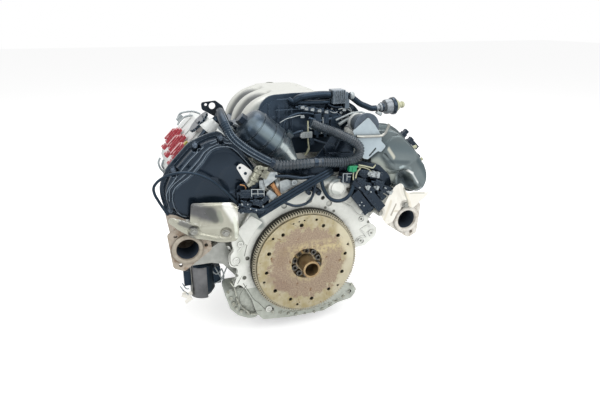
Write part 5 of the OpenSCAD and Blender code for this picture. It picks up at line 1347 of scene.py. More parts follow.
# %% Black trays, bars and plugs
black = Forms()
black.sheet([
    (-84, 256), (-40, 258), (40, 262), (94, 331), (141, 312), (146, 232), (100, 219), (58, 224),
    (40, 212), (6, 222), (-20, 226), (-62, 232)], 6, 3, 50, 6)
black.sheet([
    (92, 196), (96, 250), (150, 250), (204, 236), (236, 205), (244, 178), (216, 150), (202, 122),
    (188, 106), (168, 112), (152, 142), (126, 178)], 6, 3, 24.5, 5)
black.sheet([
    (-172, 200), (-168, 182), (-150, 150), (-120, 150), (-92, 170), (-92, 206), (-104, 226),
    (-140, 230), (-168, 222)], 6, 3, 14, 6)
for x, z, long, turn in ((60, 300, 60, 20), (100, 300, 44, -62), (104, 268, 62, 4),
                         (66, 276, 30, 66), (120, 240, 40, 0)):
    black.block((-long / 2, -5, -2), (long / 2, 3, 2), at(x, 48, z, turn))
for x, z, turn, long, wide in (
        (-150, 205, 4, 30, 20), (-122, 201, -8, 22, 16), (-124, 180, 18, 24, 14),
        (-150, 179, 35, 20, 12), (-106, 186, -40, 20, 12), (-155, 164, 0, 24, 12),
        (-124, 160, 8, 28, 10), (-98, 160, -26, 22, 9)):
    black.plug(x, 5, z, turn, long, wide, 7, 7)
for x, z, turn, long, wide in (
        (104, 216, 8, 24, 24), (143, 203, 22, 26, 17), (160, 190, 28, 20, 19),
        (196, 190, 24, 26, 20), (188, 214, 6, 34, 14), (219, 172, 26, 30, 20),
        (177, 178, 44, 18, 14), (152, 226, 8, 26, 12), (206, 158, 50, 24, 14)):
    black.plug(x, 11, z, turn, long, wide, 8, 7)
print("trays are filled")

# %% [markdown]
# ## Module, duct and black cables
# A flat module with a window frame and a thick duct slant over the right-hand tray, with
# black cables round them, all in the same mesh as the trays.

# %% Flat module, duct and black cables
plate = at(147, 2, 149, 52)
black.block((-34, -4, -13), (32, 10, 13), plate).block((-8, -5.4, -9), (14, -3, 9), plate)
black.block((-28, -5.4, -9), (-12, -3, -6), plate).block((30, -6, -15), (35, 8, 15), plate)
duct = at(184, 6, 150, 50)
black.block((-38, -8, -12), (34, 10, 12), duct).block((-28, -10.5, -5), (26, -7, 6), duct)
black.block((-36, -9.4, -12.5), (30, 9, -9), duct)
black.tube([(122, 4, 206), (128, 4, 199), (138, 5, 190), (150, 6, 181), (160, 6, 170)], 7.5)
black.tube([(126, 8, 186), (140, 8, 181), (152, 8, 172), (166, 8, 160)], 4.6)
black.tube([(-80, 4, 240), (-66, 6, 238), (-48, 6, 236), (-30, 6, 232), (-12, 6, 228),
            (4, 6, 228), (20, 6, 230)], 4.6)
black.tube([(24, 2, 219), (20, 2, 200), (14, 2, 179), (2, 2, 165), (-12, 2, 160),
            (-32, 2, 160), (-56, 3, 171), (-72, 6, 184)], 3.4)
black.tube([(-170, 3, 180), (-152, 1, 172), (-132, 0, 164), (-112, 0, 160), (-92, 1, 166),
            (-70, 3, 178)], 4.2)
black.tube([(-168, 6, 172), (-146, 3, 162), (-124, 2, 154), (-106, 2, 156)], 3.2)
black.tube([(0, 14, 190), (14, 12, 196), (30, 14, 192), (40, 16, 182)], 5.0)
for x, z in ((8, 186), (22, 190), (34, 182)):
    black.rod((x, 20, z), (x, 8, z), 6.4, 5.6, 14)
black.made("valley_plugs_black", "plastic_black", "plastic_black", "harness_connectors",
           "control_unit", round_by=0.7)

print("module, duct and cables are in")

# %% [markdown]
# ## Light plugs and pins
# Grey faces, thin frames and pins stand in front of the black plugs, so that the valley
# isn't one dark mass.

# %% Grey plugs, frames and pins
light = Forms()
for x, z, turn, long, wide in (
        (172, 221, 9, 17, 12), (187, 217, 9, 13, 12), (163, 186, 24, 9, 9), (188, 183, 20, 10, 7),
        (226, 166, 24, 12, 6)):
    light.plug(x, 2.5, z, turn, long, wide, 3, 4)
for a, b in (((91, 231), (116, 229)), ((92, 231), (92, 204)), ((92, 204), (104, 203)),
             ((101, 222), (112, 221)), ((102, 230), (102, 212)), ((119, 236), (119, 224)),
             ((-139, 216), (-108, 212)), ((-139, 205), (-109, 202)), ((-139, 216), (-139, 198)),
             ((-124, 214), (-124, 199)), ((-109, 212), (-109, 196))):
    light.block((0, -0.8, -0.8), (math.dist(a, b), 0.8, 0.8), Matrix.Translation(
        (a[0], -4.4, a[1])) @ Matrix.Rotation(-math.atan2(b[1] - a[1], b[0] - a[0]), 4, "Y"))
for x, z in (
        (-162, 181), (-149, 180), (-143, 168), (-129, 163), (-112, 170), (-161, 160), (150, 118),
        (145, 150), (140, 143), (152, 140), (170, 175), (212, 180), (232, 170), (138, 190)):
    light.rod((x, 1, z), (x, -5.6, z), 2.4, 1.6, 10)
light.made("valley_plugs_grey", "plug_grey", "plastic_black", round_by=0.4)

print("grey plugs are on")

# %% [markdown]
# ## Pale wires and the green plug
# A few loose wires and a green plug are the light tones here. The plug is three blocks
# with the same turn: body, collar and latch.

# %% Pale wires and the green plug
pale = Forms()
pale.tube([(126, -3, 216), (127, -4, 224), (130, -4, 233), (138, -3, 240)], 2.0)
pale.tube([(120, -3, 212), (119, -4, 224), (120, -4, 234)], 1.5)
pale.tube([(136, 3, 247), (152, 3, 243), (168, 3, 238), (176, 3, 236), (183, 4, 243)], 1.7)
pale.tube([(134, 5, 242), (150, 5, 239), (164, 5, 233), (172, 5, 226)], 1.4)
pale.tube([(35, 95, 346), (35.4, 95, 323), (35.5, 95, 297), (38, 95, 276)], 2.0)
pale.tube([(38, 95, 276), (34, 95, 266), (28, 96, 258)], 3.2)
pale.made("valley_wires_pale", "wire_pale", "harness", round_by=0)
green = Forms()
GREEN_AT = at(115.5, -3, 242.5, 4)
green.block((-10, -7, -7), (10, 6, 7), GREEN_AT)
green.block((-11.4, -8, 3), (11.4, 6, 7.6), GREEN_AT)
green.block((-2, -8.6, -9), (4, -5, 5), GREEN_AT)
green.made("green_plug", "green", "plastic_black", round_by=0.8)

print("wires are in")

# %% [markdown]
# ## Left bracket
# A bright triangular bracket holds the harness on the left. Beside it are a ringed
# fitting, small plates, a ring terminal and a strap of copper braid.

# %% Left bracket with its fittings
bracket = Forms()
bracket.sheet([
    (-170, 268), (-160, 277), (-150, 271), (-131, 254), (-146, 224), (-152, 234)], 5, 4, 8.5, 2.2)
bracket.made("bracket_triangle", "bracket_white", "bracket_white", "harness_bracket", round_by=0.4)
dots = Forms()
for x, z, r in ((-161.5, 266.5, 3.0), (-149, 252, 3.6)):
    dots.rod((x, 9.5, z), (x, 7.6, z), r, r, 18)
dots.made("bracket_rivets", "plastic_black", "plastic_black", round_by=0.3)
fitting = Forms()
fitting.turned([
    (0, 9), (7, 9.5), (8, 12), (15, 12), (16, 9), (27, 9), (29, 11.5), (36, 11.5), (38, 8),
    (46, 7)], at(-136, 4, 228, 30), 20)
fitting.block((-12, -6, -3), (12, 5, 4), at(-110, 4, 263, 10))
fitting.tube([(-124, 3, 250), (-126, 2, 262), (-120, 2, 268), (-110, 2, 266)], 3.4)
fitting.block((-8, -5, -10), (8, 6, 10), at(-104, 5, 247, 30))
fitting.rod((-146, 4, 222), (-130, 4, 232), 5.5, 6.5, 16)
fitting.made("coolant_fitting", "fitting", "brass_plate", round_by=0.8)
print("bracket is on")

# %% Plates, ring terminal and braid
plates = Forms()
plates.sheet([
    (-109, 241), (-93, 251), (-74, 250), (-73, 236), (-88, 225), (-104, 215)], 4, 3, 2, 5)
plates.sheet([(-67, 222), (-47, 226), (-20, 211), (-64, 192)], 3, 3, 12, 3)
plates.sheet([(-103, 197), (-93, 208), (-74, 191), (-86, 180)], 3, 3, 3, 4)
plates.sheet([(-118, 232), (-104, 232), (-104, 208), (-116, 206)], 3, 3, 6, 5)
plates.turned([(0, 7.4), (2, 7.4), (2, 3.6), (0.4, 3.6)], along_y(-30, 9, 217), 24)
plates.made("valley_plates", "plug_grey", "block_metal")
braid = Forms()
braid.tube([(-88, 5, 222), (-83, 4, 214), (-77, 4, 204), (-70, 5, 192)], 6.2, 14)
braid.tube([(-163, 8, 226), (-152, 7, 222), (-150, 7, 214), (-160, 8, 212)], 2.0)
braid.made("copper_braid", "braid", "brass_plate", round_by=0)
print("valley is filled")

# %% [markdown]
# ## Intake and the top of the valley
# The intake's outer skin is one net: around the bend in one direction and along the engine
# in the other. Between the tubes it sinks, and towards the roof the tubes flow together.

# %% Intake: the section across the engine
RUNNER_Y, DEPTH = (183.0, 269.0, 355.0), 39.0
FRONT, REAR = 142, 396
ROOF, BEND_X, BEND_Z, BEND_RADIUS = 366, -30, 310, 58
DROP_X, DROP_RADIUS = 80, 33
# each row is a point inside, the way out from it, how far the inner wall lies on that way,
# and how much of the tubes' own height shows there
section = [(BEND_X, 303 + t, -1, 0, BEND_RADIUS, 1.0) for t in (0, 4)]
for a in np.linspace(0, 90, 34):
    n = math.radians(a)
    section.append((BEND_X, BEND_Z, -math.cos(n), math.sin(n),
                    BEND_RADIUS - 2 * math.sin(n) ** 2, float(ramp(np.array(-a), -98, -70))))
section += [(x, BEND_Z, 0, 1, ROOF - BEND_Z, 0.0)
            for x in np.linspace(BEND_X, DROP_X, 20)[1:-1]]
for a in np.linspace(90, 0, 30):
    n = math.radians(a)
    section.append((DROP_X, ROOF - DROP_RADIUS, math.cos(n), math.sin(n), DROP_RADIUS,
                    float(ramp(np.array(-a), -94, -62))))
section += [(DROP_X, ROOF - DROP_RADIUS - t, 1, 0, DROP_RADIUS, 1.0) for t in (5, 9)]
print("intake section:", len(section), "points")

# %% Intake: heights along the engine
stations = np.linspace(FRONT, REAR, 190)
off = np.min(np.abs(stations[:, None] - np.array(RUNNER_Y)), axis=1)
# a tube's crown is a flattened circle, and the roof is round at its two ends
tube_height = DEPTH * np.maximum((1 - np.clip(off / 37, 0, 1) ** 2.1) ** (1 / 2.1), 0.03)
rim = np.minimum(stations - FRONT, REAR - stations)
roof_height = DEPTH * np.sqrt(1 - (1 - np.clip(rim / 12, 0.02, 1)) ** 2) * 0.985
roof_height += 3.5
outer = [[(x + nx * (i + f * t + (1 - f) * r), y, z + nz * (i + f * t + (1 - f) * r))
          for y, t, r in zip(stations, tube_height, roof_height)]
         for x, z, nx, nz, i, f in section]
inner = [[(x + nx * i, y, z + nz * i) for y in stations]
         for x, z, nx, nz, i, f in section]
print("intake roof:", round(ROOF + float(roof_height.max()), 1), "mm above the crank")

# %% Intake skin
rows, cols = len(section), len(stations)
half_count = rows * cols
faces = []
for i in range(rows - 1):
    for j in range(cols - 1):
        a = i * cols + j
        faces.append((a, a + 1, a + cols + 1, a + cols))
        faces.append((half_count + a, half_count + a + cols, half_count + a + cols + 1,
                      half_count + a + 1))
    for j in (0, cols - 1):
        a = i * cols + j
        faces.append((a, a + cols, half_count + a + cols, half_count + a))
for i in (0, rows - 1):
    for j in range(cols - 1):
        a = i * cols + j
        faces.append((a, a + 1, half_count + a + 1, half_count + a))
skin = outward("intake_skin", [v for row in outer + inner for v in row], faces)
skin.polygons.foreach_set("use_smooth", [True] * len(skin.polygons))
skin.set_sharp_from_angle(angle=math.radians(60))
finished(put_in_scene("intake_skin", skin), "intake_shaded", "intake_grey",
         "intake_manifold_upper")
print("intake skin:", len(skin.polygons), "faces")

# %% [markdown]
# ## Plenum
# Behind the tubes lies the box that feeds them, with the round opening that the throttle
# body bolts to. It ends short of the throttle plate, so the plate can swing open.

# %% Plenum and throttle flange
plenum = Forms().block((-12, 300, 315), (80, 352, 383))
plenum.turned([(0, 39), (33, 39), (34, 43), (43, 43), (44, 42), (44, 36.5), (0, 36.5)],
              Matrix.Translation((34, 351, 360)) @ about("X", -90),
              56, True)
for x, z in ((-8, 320), (76, 320)):
    plenum.rod((x, 340, z), (x, 396, z), 8)
plenum.made("intake_plenum", "intake_grey", "intake_grey", round_by=4)
print("plenum is on")

# %% [markdown]
# ## Lower intake wall
# Under the tubes stands a dark ribbed wall, with injectors, plugs and three cables in
# front of it. Flat strips make the ribs, and the plugs are the valley's own form.

# %% Wall of the lower intake with its injectors
wall = Forms()
wall.sheet([
    (-84, 300), (-84, 372), (-79, 388), (-62, 405), (-46, 410), (4, 412), (92, 412), (126, 404),
    (142, 388), (146, 340), (142, 300)], 9, 4, 128, 6)
wall.block((-46, -3, -1.2), (40, 3, 1.2), at(2, 114, 374))
wall.block((-22, -3, -1.2), (26, 3, 1.2), at(-18, 114, 400))
wall.block((-1.2, -3, -40), (1.2, 3, 26), at(-2, 114, 352))
wall.block((-1.2, -3, -50), (1.2, 3, 34), at(-36, 114, 352))
wall.block((-60, -3, -1.2), (76, 3, 1.2), at(6, 114, 312))
for x in (64, 86, 108):
    wall.block((-9, -12, -28), (9, 10, 26), at(x, 112, 336))
    wall.block((-7, -14, -6), (7, -10, 18), at(x, 112, 342))
    wall.rod((x, 104, 362), (x, 104, 300), 4.0)
wall.tube([(-30, 105, 326), (-20, 105, 350), (4, 105, 363), (31, 105, 365), (53, 105, 361)], 3.4)
wall.tube([(40, 104, 352), (58, 102, 346), (80, 102, 344), (104, 102, 348), (124, 98, 352)], 4.2)
wall.tube([(20, 92, 322), (6, 92, 320), (-8, 96, 312), (-14, 100, 298)], 3.6)
for x, z, turn, long in (
        (22, 379, 6, 20), (44, 374, 8, 24), (68, 369, 8, 22), (92, 364, 8, 20), (66, 330, 70, 20),
        (52, 338, 40, 18), (48, 290, 86, 16), (120, 330, 84, 30), (136, 300, 60, 24)):
    wall.plug(x, 108, z, turn, long, 11, 6, 7)
print("wall is up")

# %% [markdown]
# ## Purge valve
# The grey purge valve is a ribbed box with ports, above the right end of the wall. Small
# grey parts round it are gathered in one mesh.

# %% Purge valve: ribbed box with two ports
purge = Forms()
purge.block((99, 86, 386), (132, 118, 420)).block((132, 90, 396), (141, 112, 414))
for x in (101, 106.5, 112, 117.5, 123, 128.5):
    purge.block((x, 83.6, 388), (x + 2.6, 87, 418))
purge.block((134, 92, 372), (146, 108, 396)).rod((146, 96, 404), (158, 96, 402), 8, 6.6, 18)
purge.made("purge_valve_box", "solenoid_grey", "plastic_black", "purge_solenoid", round_by=0.8)
wall.made("intake_rear_fittings", "wall_black", "plastic_black", round_by=0.6)
print("purge valve is on")

# %% Grey bits at the top of the valley
bits = Forms()
bits.tube([(-37, 100, 345), (-21, 99, 353.6), (-3, 99, 357.5), (16, 98, 361), (24, 98, 356)], 1.1)
bits.tube([(112, 108, 361), (113, 108, 336), (113.7, 108, 312)], 1.8)
bits.block((16, 89, 304), (45, 96, 319)).block((13, 88, 307), (18, 97, 316))
for k in range(3):
    bits.block((20 + 8 * k, 87.6, 306), (24 + 8 * k, 90, 317))
for x, z, turn in ((21, 380, 6), (31, 376, 6), (47, 373, 8), (66, 369, 8), (85, 365, 8),
                   (134, 368, 4), (42, 329, 30), (66, 324, 30), (72, 316, 60), (21, 357, 0)):
    bits.block((-4.6, -4, -2.6), (4.6, 2, 2.6), at(x, 98, z, turn))
    bits.rod((x - 3, 96, z + 2), (x + 3, 93, z + 4), 1.6, 1.2, 8)
bits.tube([(108, 88, 345), (133, 88, 354), (152, 88, 360), (180, 88, 361), (196, 90, 352)], 2.6)
bits.tube([(118, 92, 332), (140, 92, 344), (164, 92, 352), (186, 94, 350)], 4.4)
bits.turned([(0, 8.5), (3, 9.4), (7, 9.4), (9, 8.6)], at(148, 94, 404, 90), 24)
bits.turned([(0, 8.4), (2, 9.2), (6, 9.2), (8, 8.4)], at(232, 98, 350, 30), 24)
bits.made("top_bits_grey", "plug_grey", "plastic_black", round_by=0.4)

print("grey bits are on")

# %% [markdown]
# ## Check valve
# A small drum on the purge line: pale nozzle, grey drum with a black band, pale outlet.
# The three tones are three turned shapes on one axis.

# %% Check valve
valve_axis = at(226.3, 100, 367, 86)
drum = Forms().turned([(0, 7), (9, 7), (10, 11), (13, 12), (20, 12), (21, 10), (24, 10),
                       (25, 18.4), (28, 19.4), (43, 19.4), (44, 18)], valve_axis, 40)
bank_side = at(202.6, 100, 310.2, 45)
drum.turned([(0, 10), (3, 10), (4, 7), (8, 7), (9, 12), (15, 12), (16, 7), (38, 7)], bank_side, 28)
drum.made("check_valve_drum", "valve_grey", "valve_grey", "check_valve", round_by=0)
band = Forms().turned([(43, 19), (44, 22), (48, 23), (52, 23), (54, 21), (54, 17)], valve_axis, 40)
band.turned([(14, 12.2), (15, 13.4), (19, 13.4), (20, 12.2)], valve_axis, 28)
band.made("check_valve_band", "plastic_black", "plastic_black", round_by=0)
outlet = Forms().turned([(53, 19), (56, 18.4), (64, 13), (65, 8), (74, 7.4), (75, 8.8),
                         (78, 8.8), (81, 7)], valve_axis, 32)
outlet.made("check_valve_outlet", "wire_pale", "valve_grey", round_by=0)
print("top of the valley is done")

# %% [markdown]
# ## Castings and fasteners of the drive end
# The exhaust outlets get a turned ring and soot inside. Bosses, seams, pits and bolts break
# up the flange and the pan, as on any casting, and the rubber mount gets its sheet and clips.

# %% Exhaust outlets and a painted shadow behind the ring gear
OUTLET_X, OUTLET_Z, OUTLET_BORE = 292, 76, 26.5
for side, word in ((-1, "left"), (1, "right")):
    centre = along_y(side * OUTLET_X, 18, OUTLET_Z)
    ring = Forms().turned([(0, OUTLET_BORE), (0, 37), (2.2, 36.4), (4.0, 34.6), (4.6, 32),
                           (4.6, 28.6), (3.8, 27.2), (2.0, OUTLET_BORE)], centre, 56, True)
    ring.made("outlet_ring_" + word, "ring_grey" if side < 0 else "flange_pale", "exhaust_iron",
              round_by=0)
    soot = Forms().turned([(-66, OUTLET_BORE), (-66, OUTLET_BORE - 0.5),
                           (-5, OUTLET_BORE - 0.5), (-4, OUTLET_BORE)], centre, 56, True)
    soot.made("outlet_soot_" + word, "soot", "exhaust_iron", round_by=0)
# A thin near-black ring in the pocket paints the shadow behind the ring gear.
shadow = Forms().turned([(0, 104), (0, 141.5), (1.6, 141.5), (1.6, 104)],
                        along_y(0, 29.4, 0), 96, True)
shadow.made("ring_gear_painted_shadow", "painted_shadow_black", "block_metal", round_by=0)

print("outlets are sooty")

# %% [markdown]
# ## Flange of the block
# The face that meets the gearbox has bosses, ribs, casting seams and pits, each only a
# millimetre or two deep, but the light catches them.

# %% Bosses and ribs
boss = Forms()
for x, z, r in ((-164, 65.5, 7), (-95.4, -132.4, 8.5), (-176, 22, 8), (163, 27, 7),
                (194, 46.5, 8), (162, 90, 6)):
    boss.turned([(0, r), (2.4, r), (2.8, r - 0.8), (2.8, r - 2.4), (1.2, r - 3.0), (1.2, 1.2),
                 (0, 1)], along_y(x, 30, z), 28)
for line in ([(-134, 136), (-160, 110), (-168, 100), (-157, 78), (-153, 66), (-171, 46)],
             [(134, 24), (147, 24), (154, 34), (168, 39), (180, 34), (171, 49), (162, 58),
              (181, 68), (189, 62)],
             [(182, 48), (196, 48), (197, 41), (190, 36)],
             [(108, 142), (120, 134), (134, 126), (146, 109), (160, 100), (176, 96), (190, 88)]):
    boss.tube([(x, 29.6, z) for x, z in line], 1.5, 10)
boss.sheet([
    (-134, 137), (-168, 100), (-154, 67), (-147, 60), (-139, 76), (-124, 98), (-106, 116)], 3, 3,
    28.4, 1.6)
boss.made("flange_bosses", "block_metal", "block_metal")
print("bosses are on")

# %% Seams and pits
seam = Forms()
for line in ([(-108, 118), (-124, 98), (-139, 76), (-147, 60), (-155, 31)],
             [(-190, 44), (-191, 20), (-185, 9), (-172, 8)],
             [(-152, -52), (-168, -72), (-172, -90), (-163, -116), (-142, -130), (-114, -134)],
             [(-161, -45), (-148, -70), (-135, -96), (-122, -110), (-105, -133)],
             [(160, 101), (176, 97), (191, 89)], [(135, 23), (148, 23), (155, 33)]):
    seam.tube([(x, 30.0, z) for x, z in line], 0.75, 8)
for x, z, r in ((-158, -28, 3.4), (-149, 25, 3.4), (-175, -54, 3.6), (-182, -8, 3.0),
                (-186, -30, 4.4), (-176, -20, 3.0), (-188, -60, 2.4), (194, 46, 3.0),
                (163, 27, 2.6), (162, 90, 3.2), (184, 78, 3.6), (60, 134, 3.2), (84, 122, 3.0)):
    seam.rod((x, 32, z), (x, 28.6, z), r, r, 16)
seam.made("flange_seams_and_pits", "seam", "block_metal", round_by=0)
print("seams and pits are on")

# %% [markdown]
# ## Pan rim
# Twenty bolts follow the pan's rim, and short ribs fan out along its curve. They stand at
# even steps along a parabola, so a formula places them.

# %% Pan: bolts, ribs and bars round the edge
pan = Forms()
rim = [(-200, -66), (-193, -86), (-187, -104), (-180, -118), (-168, -130), (-150, -139),
       (-130, -143), (-108, -140), (-86, -142), (-64, -150), (-42, -158), (-20, -164),
       (6, -167), (32, -167), (56, -163), (78, -156), (98, -147), (118, -136), (134, -122),
       (141, -104)]
for k, (x, z) in enumerate(rim):
    hex_bolt(pan, x, 32 if k > 7 else 37, z, 0.5 + 0.12 * (k % 3), 19.0 * k)
for k in range(16):
    x = -64 + 13.0 * k
    pan.block((-1.4, -3, -6), (1.4, 3, 6), at(x, 32, -157 + 0.0017 * (x - 10) ** 2,
                                              90 + 0.3 * (x - 10)))
for x, z, long, turn in (
        (-182, -64, 30, 80), (-176, -98, 26, 76), (-158, -124, 24, 50), (-134, -142, 22, 12),
        (-188, -46, 20, 60), (-170, -34, 22, -60), (150, -112, 26, 60), (134, -128, 22, 40)):
    pan.block((-long / 2, -3, -1.3), (long / 2, 3, 1.3), at(x, 33, z, turn))
pan.made("pan_rim_fittings", "pan_soiled", "pan_metal", round_by=0.4)
print("pan rim:", len(rim), "bolts")

# %% [markdown]
# ## Engine mount
# The rubber mount at the left is wrapped in sheet: fine creases, a few loose pale flaps
# behind one another, and wire clips that hold them.

# %% Engine mount: creased sheet, pale flaps and clips
mount, pale_sheet = Forms(), Forms()
for k in range(9):
    mount.block((-283 + 5.0 * k, 93.4, -92), (-281.2 + 5.0 * k, 95.6, -8))
mount.made("mount_sheet_creases", "sheet_ribs", "shield_dark", round_by=0.4)
for k, (x, z, long, turn) in enumerate(((-300, -92, 22, 30), (-294, -104, 20, -24),
                                        (-288, -84, 16, 70), (-304, -80, 14, 50))):
    pale_sheet.block((-long / 2, -2, -5), (long / 2, 0, 5), at(x, 96 - k, z, turn, 12.0 * k))
pale_sheet.made("mount_pale_sheet", "shield_white", "shield_dark", round_by=0.8)
clips = Forms()
for line in ([(-230, 98, -12), (-226, 96, -34), (-214, 96, -42), (-203, 96, -28)],
             [(-226, 97, -70), (-208, 95, -62), (-198, 95, -44), (-188, 96, -24)],
             [(-203, 96, -28), (-198, 96, -50), (-204, 97, -74)],
             [(-220, 97, -22), (-204, 95, -56), (-190, 96, -68)],
             [(-312, 98, -62), (-304, 96, -76), (-292, 96, -88), (-286, 97, -80)],
             [(-306, 98, -54), (-298, 96, -70), (-290, 96, -72)]):
    clips.tube(line, 1.7, 10)
clips.block((-3, -3, -30), (3, 3, 34), at(-237, 97, -48, 4))
clips.made("mount_clips", "plug_grey", "steel", round_by=0.3)
print("mount is dressed")

# %% [markdown]
# ## Left top
# Beside the left cam cover a black elbow takes the breather hose, with plugs and thin
# bright pipes round it. One of the plugs is yellow.

# %% Left top: elbow, plugs and small pipes
dark = Forms()
dark.tube([(-236, 100, 318), (-226, 98, 322), (-214, 96, 316), (-210, 96, 304)], 9.5, 18)
dark.tube([(-196, 104, 362), (-206, 100, 352), (-222, 98, 336), (-232, 100, 322)], 8.0, 18)
for x, y, z, turn, long in (
        (-163, 112, 352, 40, 18), (-148, 110, 338, 30, 16), (-138, 108, 326, 60, 20),
        (-146, 112, 318, 20, 14), (-130, 108, 312, 20, 16), (-134, 108, 300, 70, 18),
        (-158, 110, 330, 60, 16), (-124, 100, 326, 20, 14)):
    dark.plug(x, y, z, turn, long, 10, 6, 8)
dark.made("left_top_fittings", "plastic_black", "plastic_black", round_by=0.8)
bright = Forms()
for line in ([(-166, 104, 346), (-156, 103, 340), (-148, 103, 330), (-140, 104, 322)],
             [(-150, 104, 350), (-142, 103, 344), (-134, 103, 336), (-138, 102, 328)],
             [(-142, 102, 312), (-134, 102, 306), (-128, 103, 310)],
             [(-274, 210, 348), (-266, 212, 362), (-250, 212, 366), (-232, 210, 366),
              (-216, 206, 360)],
             [(-276, 200, 336), (-268, 202, 346), (-254, 202, 356), (-236, 202, 358)],
             [(-330, 100, 282), (-335, 100, 270), (-331, 100, 254), (-322, 100, 246)],
             [(-322, 104, 276), (-327, 104, 262), (-322, 104, 250)]):
    bright.tube(line, 2.6, 10)
bright.block((-8, -3, -5), (8, 3, 5), at(-322, 100, 246, 60))
bright.block((-9, -6, -5), (9, 6, 5), at(-268, 206, 352, -40))
bright.made("left_top_pipes", "plug_grey", "steel", round_by=0.4)
plug = Forms()
plug.block((-6, -6, -5), (6, 6, 5), at(-268, 88, 312, 50))
plug.block((-5, -7, -6), (3, 5, 6), at(-268, 88, 302, 50))
plug.made("left_plug_yellow", "plug_yellow", "plastic_black", round_by=0.8)
print("left top is dressed")

# %% [markdown]
# ## Right top
# Between the intake and the right cam cover a sheet closes a dark corner. Plugs and cables
# fill it, and small clips give it some light.

# %% Right top: the dark fittings between the intake and the right cam cover
corner = Forms()
corner.sheet([
    (58, 392), (96, 402), (142, 392), (176, 372), (192, 352), (172, 336), (150, 320), (134, 296),
    (58, 296)], 8, 4, 122, 6)
for x, z, turn, long, wide in (
        (78, 352, 80, 30, 12), (98, 354, 76, 26, 12), (112, 342, 20, 20, 14),
        (132, 350, 24, 24, 10), (146, 356, 30, 26, 9), (152, 372, 30, 22, 10),
        (124, 366, 14, 26, 9), (86, 326, 84, 26, 10), (106, 320, 70, 24, 10),
        (160, 344, 40, 24, 10)):
    corner.plug(x, 112, z, turn, long, wide, 7, 7)
corner.tube([(92, 104, 384), (108, 102, 376), (128, 102, 374), (146, 102, 366),
             (166, 104, 352)], 4.4)
corner.tube([(70, 104, 372), (80, 102, 360), (84, 102, 340), (82, 104, 318)], 4.0)
corner.tube([(104, 104, 366), (120, 102, 356), (138, 102, 346), (150, 106, 332)], 3.4)
corner.made("right_top_fittings", "plastic_black", "plastic_black", round_by=0.6)
print("corner is filled")

# %% Right top: clips and pins
pins = Forms()
for line in ([(96, 98, 366), (106, 97, 362), (116, 98, 364)],
             [(118, 98, 370), (132, 97, 372), (146, 98, 368), (158, 99, 360)],
             [(112, 98, 350), (124, 97, 346), (134, 98, 338)],
             [(140, 98, 378), (150, 97, 372), (156, 98, 362)],
             [(76, 98, 352), (77, 97, 338), (78, 98, 322)]):
    pins.tube(line, 1.3, 10)
for x, z, r in ((103, 372, 3.0), (128, 360, 3.4), (147, 350, 3.2), (164, 358, 3.6),
                (90, 340, 2.6), (118, 332, 2.8), (138, 384, 3.0)):
    pins.turned([(0, r), (3, r), (3.6, r - 0.8), (3.6, r - 2), (2, r - 2.2)],
                along_y(x, 105, z), 20)
pins.made("right_top_clips", "plug_grey", "steel", round_by=0.2)
print("right top is done")

# %% [markdown]
# ## Right side
# Three pale sensor ends stick out at the right, and thin bright rods paint highlights along
# the folded edge of the grey cover.

# %% Right side: sensor ends and painted highlights on the edge of the grey cover
tips = Forms()
for x, y, z in ((322, 60, 262), (344, 60, 226), (352, 64, 206)):
    tips.rod((x, y, z), (x + 9, y - 3, z + 5), 5.2, 4.0, 16)
    tips.block((-5, -4, -3), (5, 4, 3), at(x - 4, y, z - 6, 40))
tips.made("sensor_tips", "wire_pale", "plastic_black")
# Thin pale rods paint highlights along the grey cover's folded edge.
edge = Forms()
for a, b in (((309, 40, 252), (322, 38, 233)), ((322, 38, 233), (333, 38, 215))):
    edge.rod(a, b, 1.2)
for x, z in ((200, 258), (192, 246), (206, 268)):
    edge.rod((x, 44, z), (x + 8, 40, z + 10), 1.2)
edge.made("grey_cover_edge_highlights", "shield_white", "cover_grey", round_by=0)
print("right side is dressed")

# %% [markdown]
# ## Floor and light
# The engine stands on a pale floor in a white room. The floor glows for the camera alone,
# and the room is whiter for the camera, in metal and through glass than where it lights
# the engine. So the background is white and the floor keeps the engine's shadow.

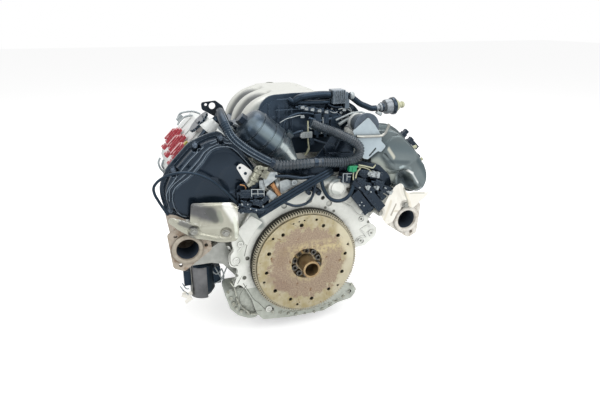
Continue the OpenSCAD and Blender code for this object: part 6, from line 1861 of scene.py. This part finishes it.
# %% Floor
floor_z = cad_box[0][2]
bpy.ops.mesh.primitive_plane_add(size=30, location=(0, 0, floor_z))
floor = bpy.context.object
floor.name = "floor"
floor_material = bpy.data.materials.new("pale_floor")
floor_material.use_nodes = True
tree = floor_material.node_tree
tree.nodes.clear()
diffuse = shader_node(tree, "BsdfDiffuse", {"Color": (0.82, 0.82, 0.82, 1)})
glow = shader_node(tree, "Emission", {"Color": (1, 1, 1, 1), "Strength": 0.5})
seen = shader_node(tree, "LightPath")
glow_seen = shader_node(tree, "MixShader", {0: seen.outputs["Is Camera Ray"], 2: glow.outputs[0]})
together = shader_node(tree, "AddShader", {0: diffuse.outputs[0], 1: glow_seen.outputs[0]})
shader_node(tree, "OutputMaterial", {"Surface": together.outputs[0]})
floor.data.materials.append(floor_material)
print("floor at", round(floor_z / MM), "mm")

# %% White room
world = bpy.data.worlds.new("white_room")
scene.world = world
world.use_nodes = True
sky = world.node_tree
sky.nodes.clear()
plain = shader_node(sky, "Background", {"Color": (1, 1, 1, 1), "Strength": 0.55})
white = shader_node(sky, "Background", {"Color": (1, 1, 1, 1), "Strength": 1.0})
path = shader_node(sky, "LightPath")
mirrored = maths(sky, "MAXIMUM", path.outputs["Is Camera Ray"], path.outputs["Is Glossy Ray"])
any_ray = maths(sky, "MAXIMUM", mirrored, path.outputs["Is Transmission Ray"])
chosen = shader_node(sky, "MixShader", {0: any_ray, 1: plain.outputs[0], 2: white.outputs[0]})
shader_node(sky, "OutputWorld", {"Surface": chosen.outputs[0]})
print("room is white")

# %% [markdown]
# ## Lights
# Three large round lamps give broad, soft highlights: a key from the upper right, a
# weaker fill from the left, and one overhead.

# %% Key, fill and top light
LIT_POINT = Vector((0, 0.2, 0.1))


def soft_light(name, place, size, watts):
    lamp = bpy.data.objects.new(name, bpy.data.lights.new(name, "AREA"))
    lamp.data.shape, lamp.data.size, lamp.data.energy = "DISK", size, watts
    lamp.location = place
    lamp.rotation_euler = (LIT_POINT - Vector(place)).to_track_quat("-Z", "Y").to_euler()
    scene.collection.objects.link(lamp)


soft_light("key", (1.3, -1.9, 2.1), 2.8, 50)
soft_light("fill", (-2.0, -1.3, 1.6), 2.2, 20)
soft_light("top", (0.2, 0.7, 2.4), 2.2, 36)
scene.view_settings.view_transform = "Standard"
print("stage and lights are set")
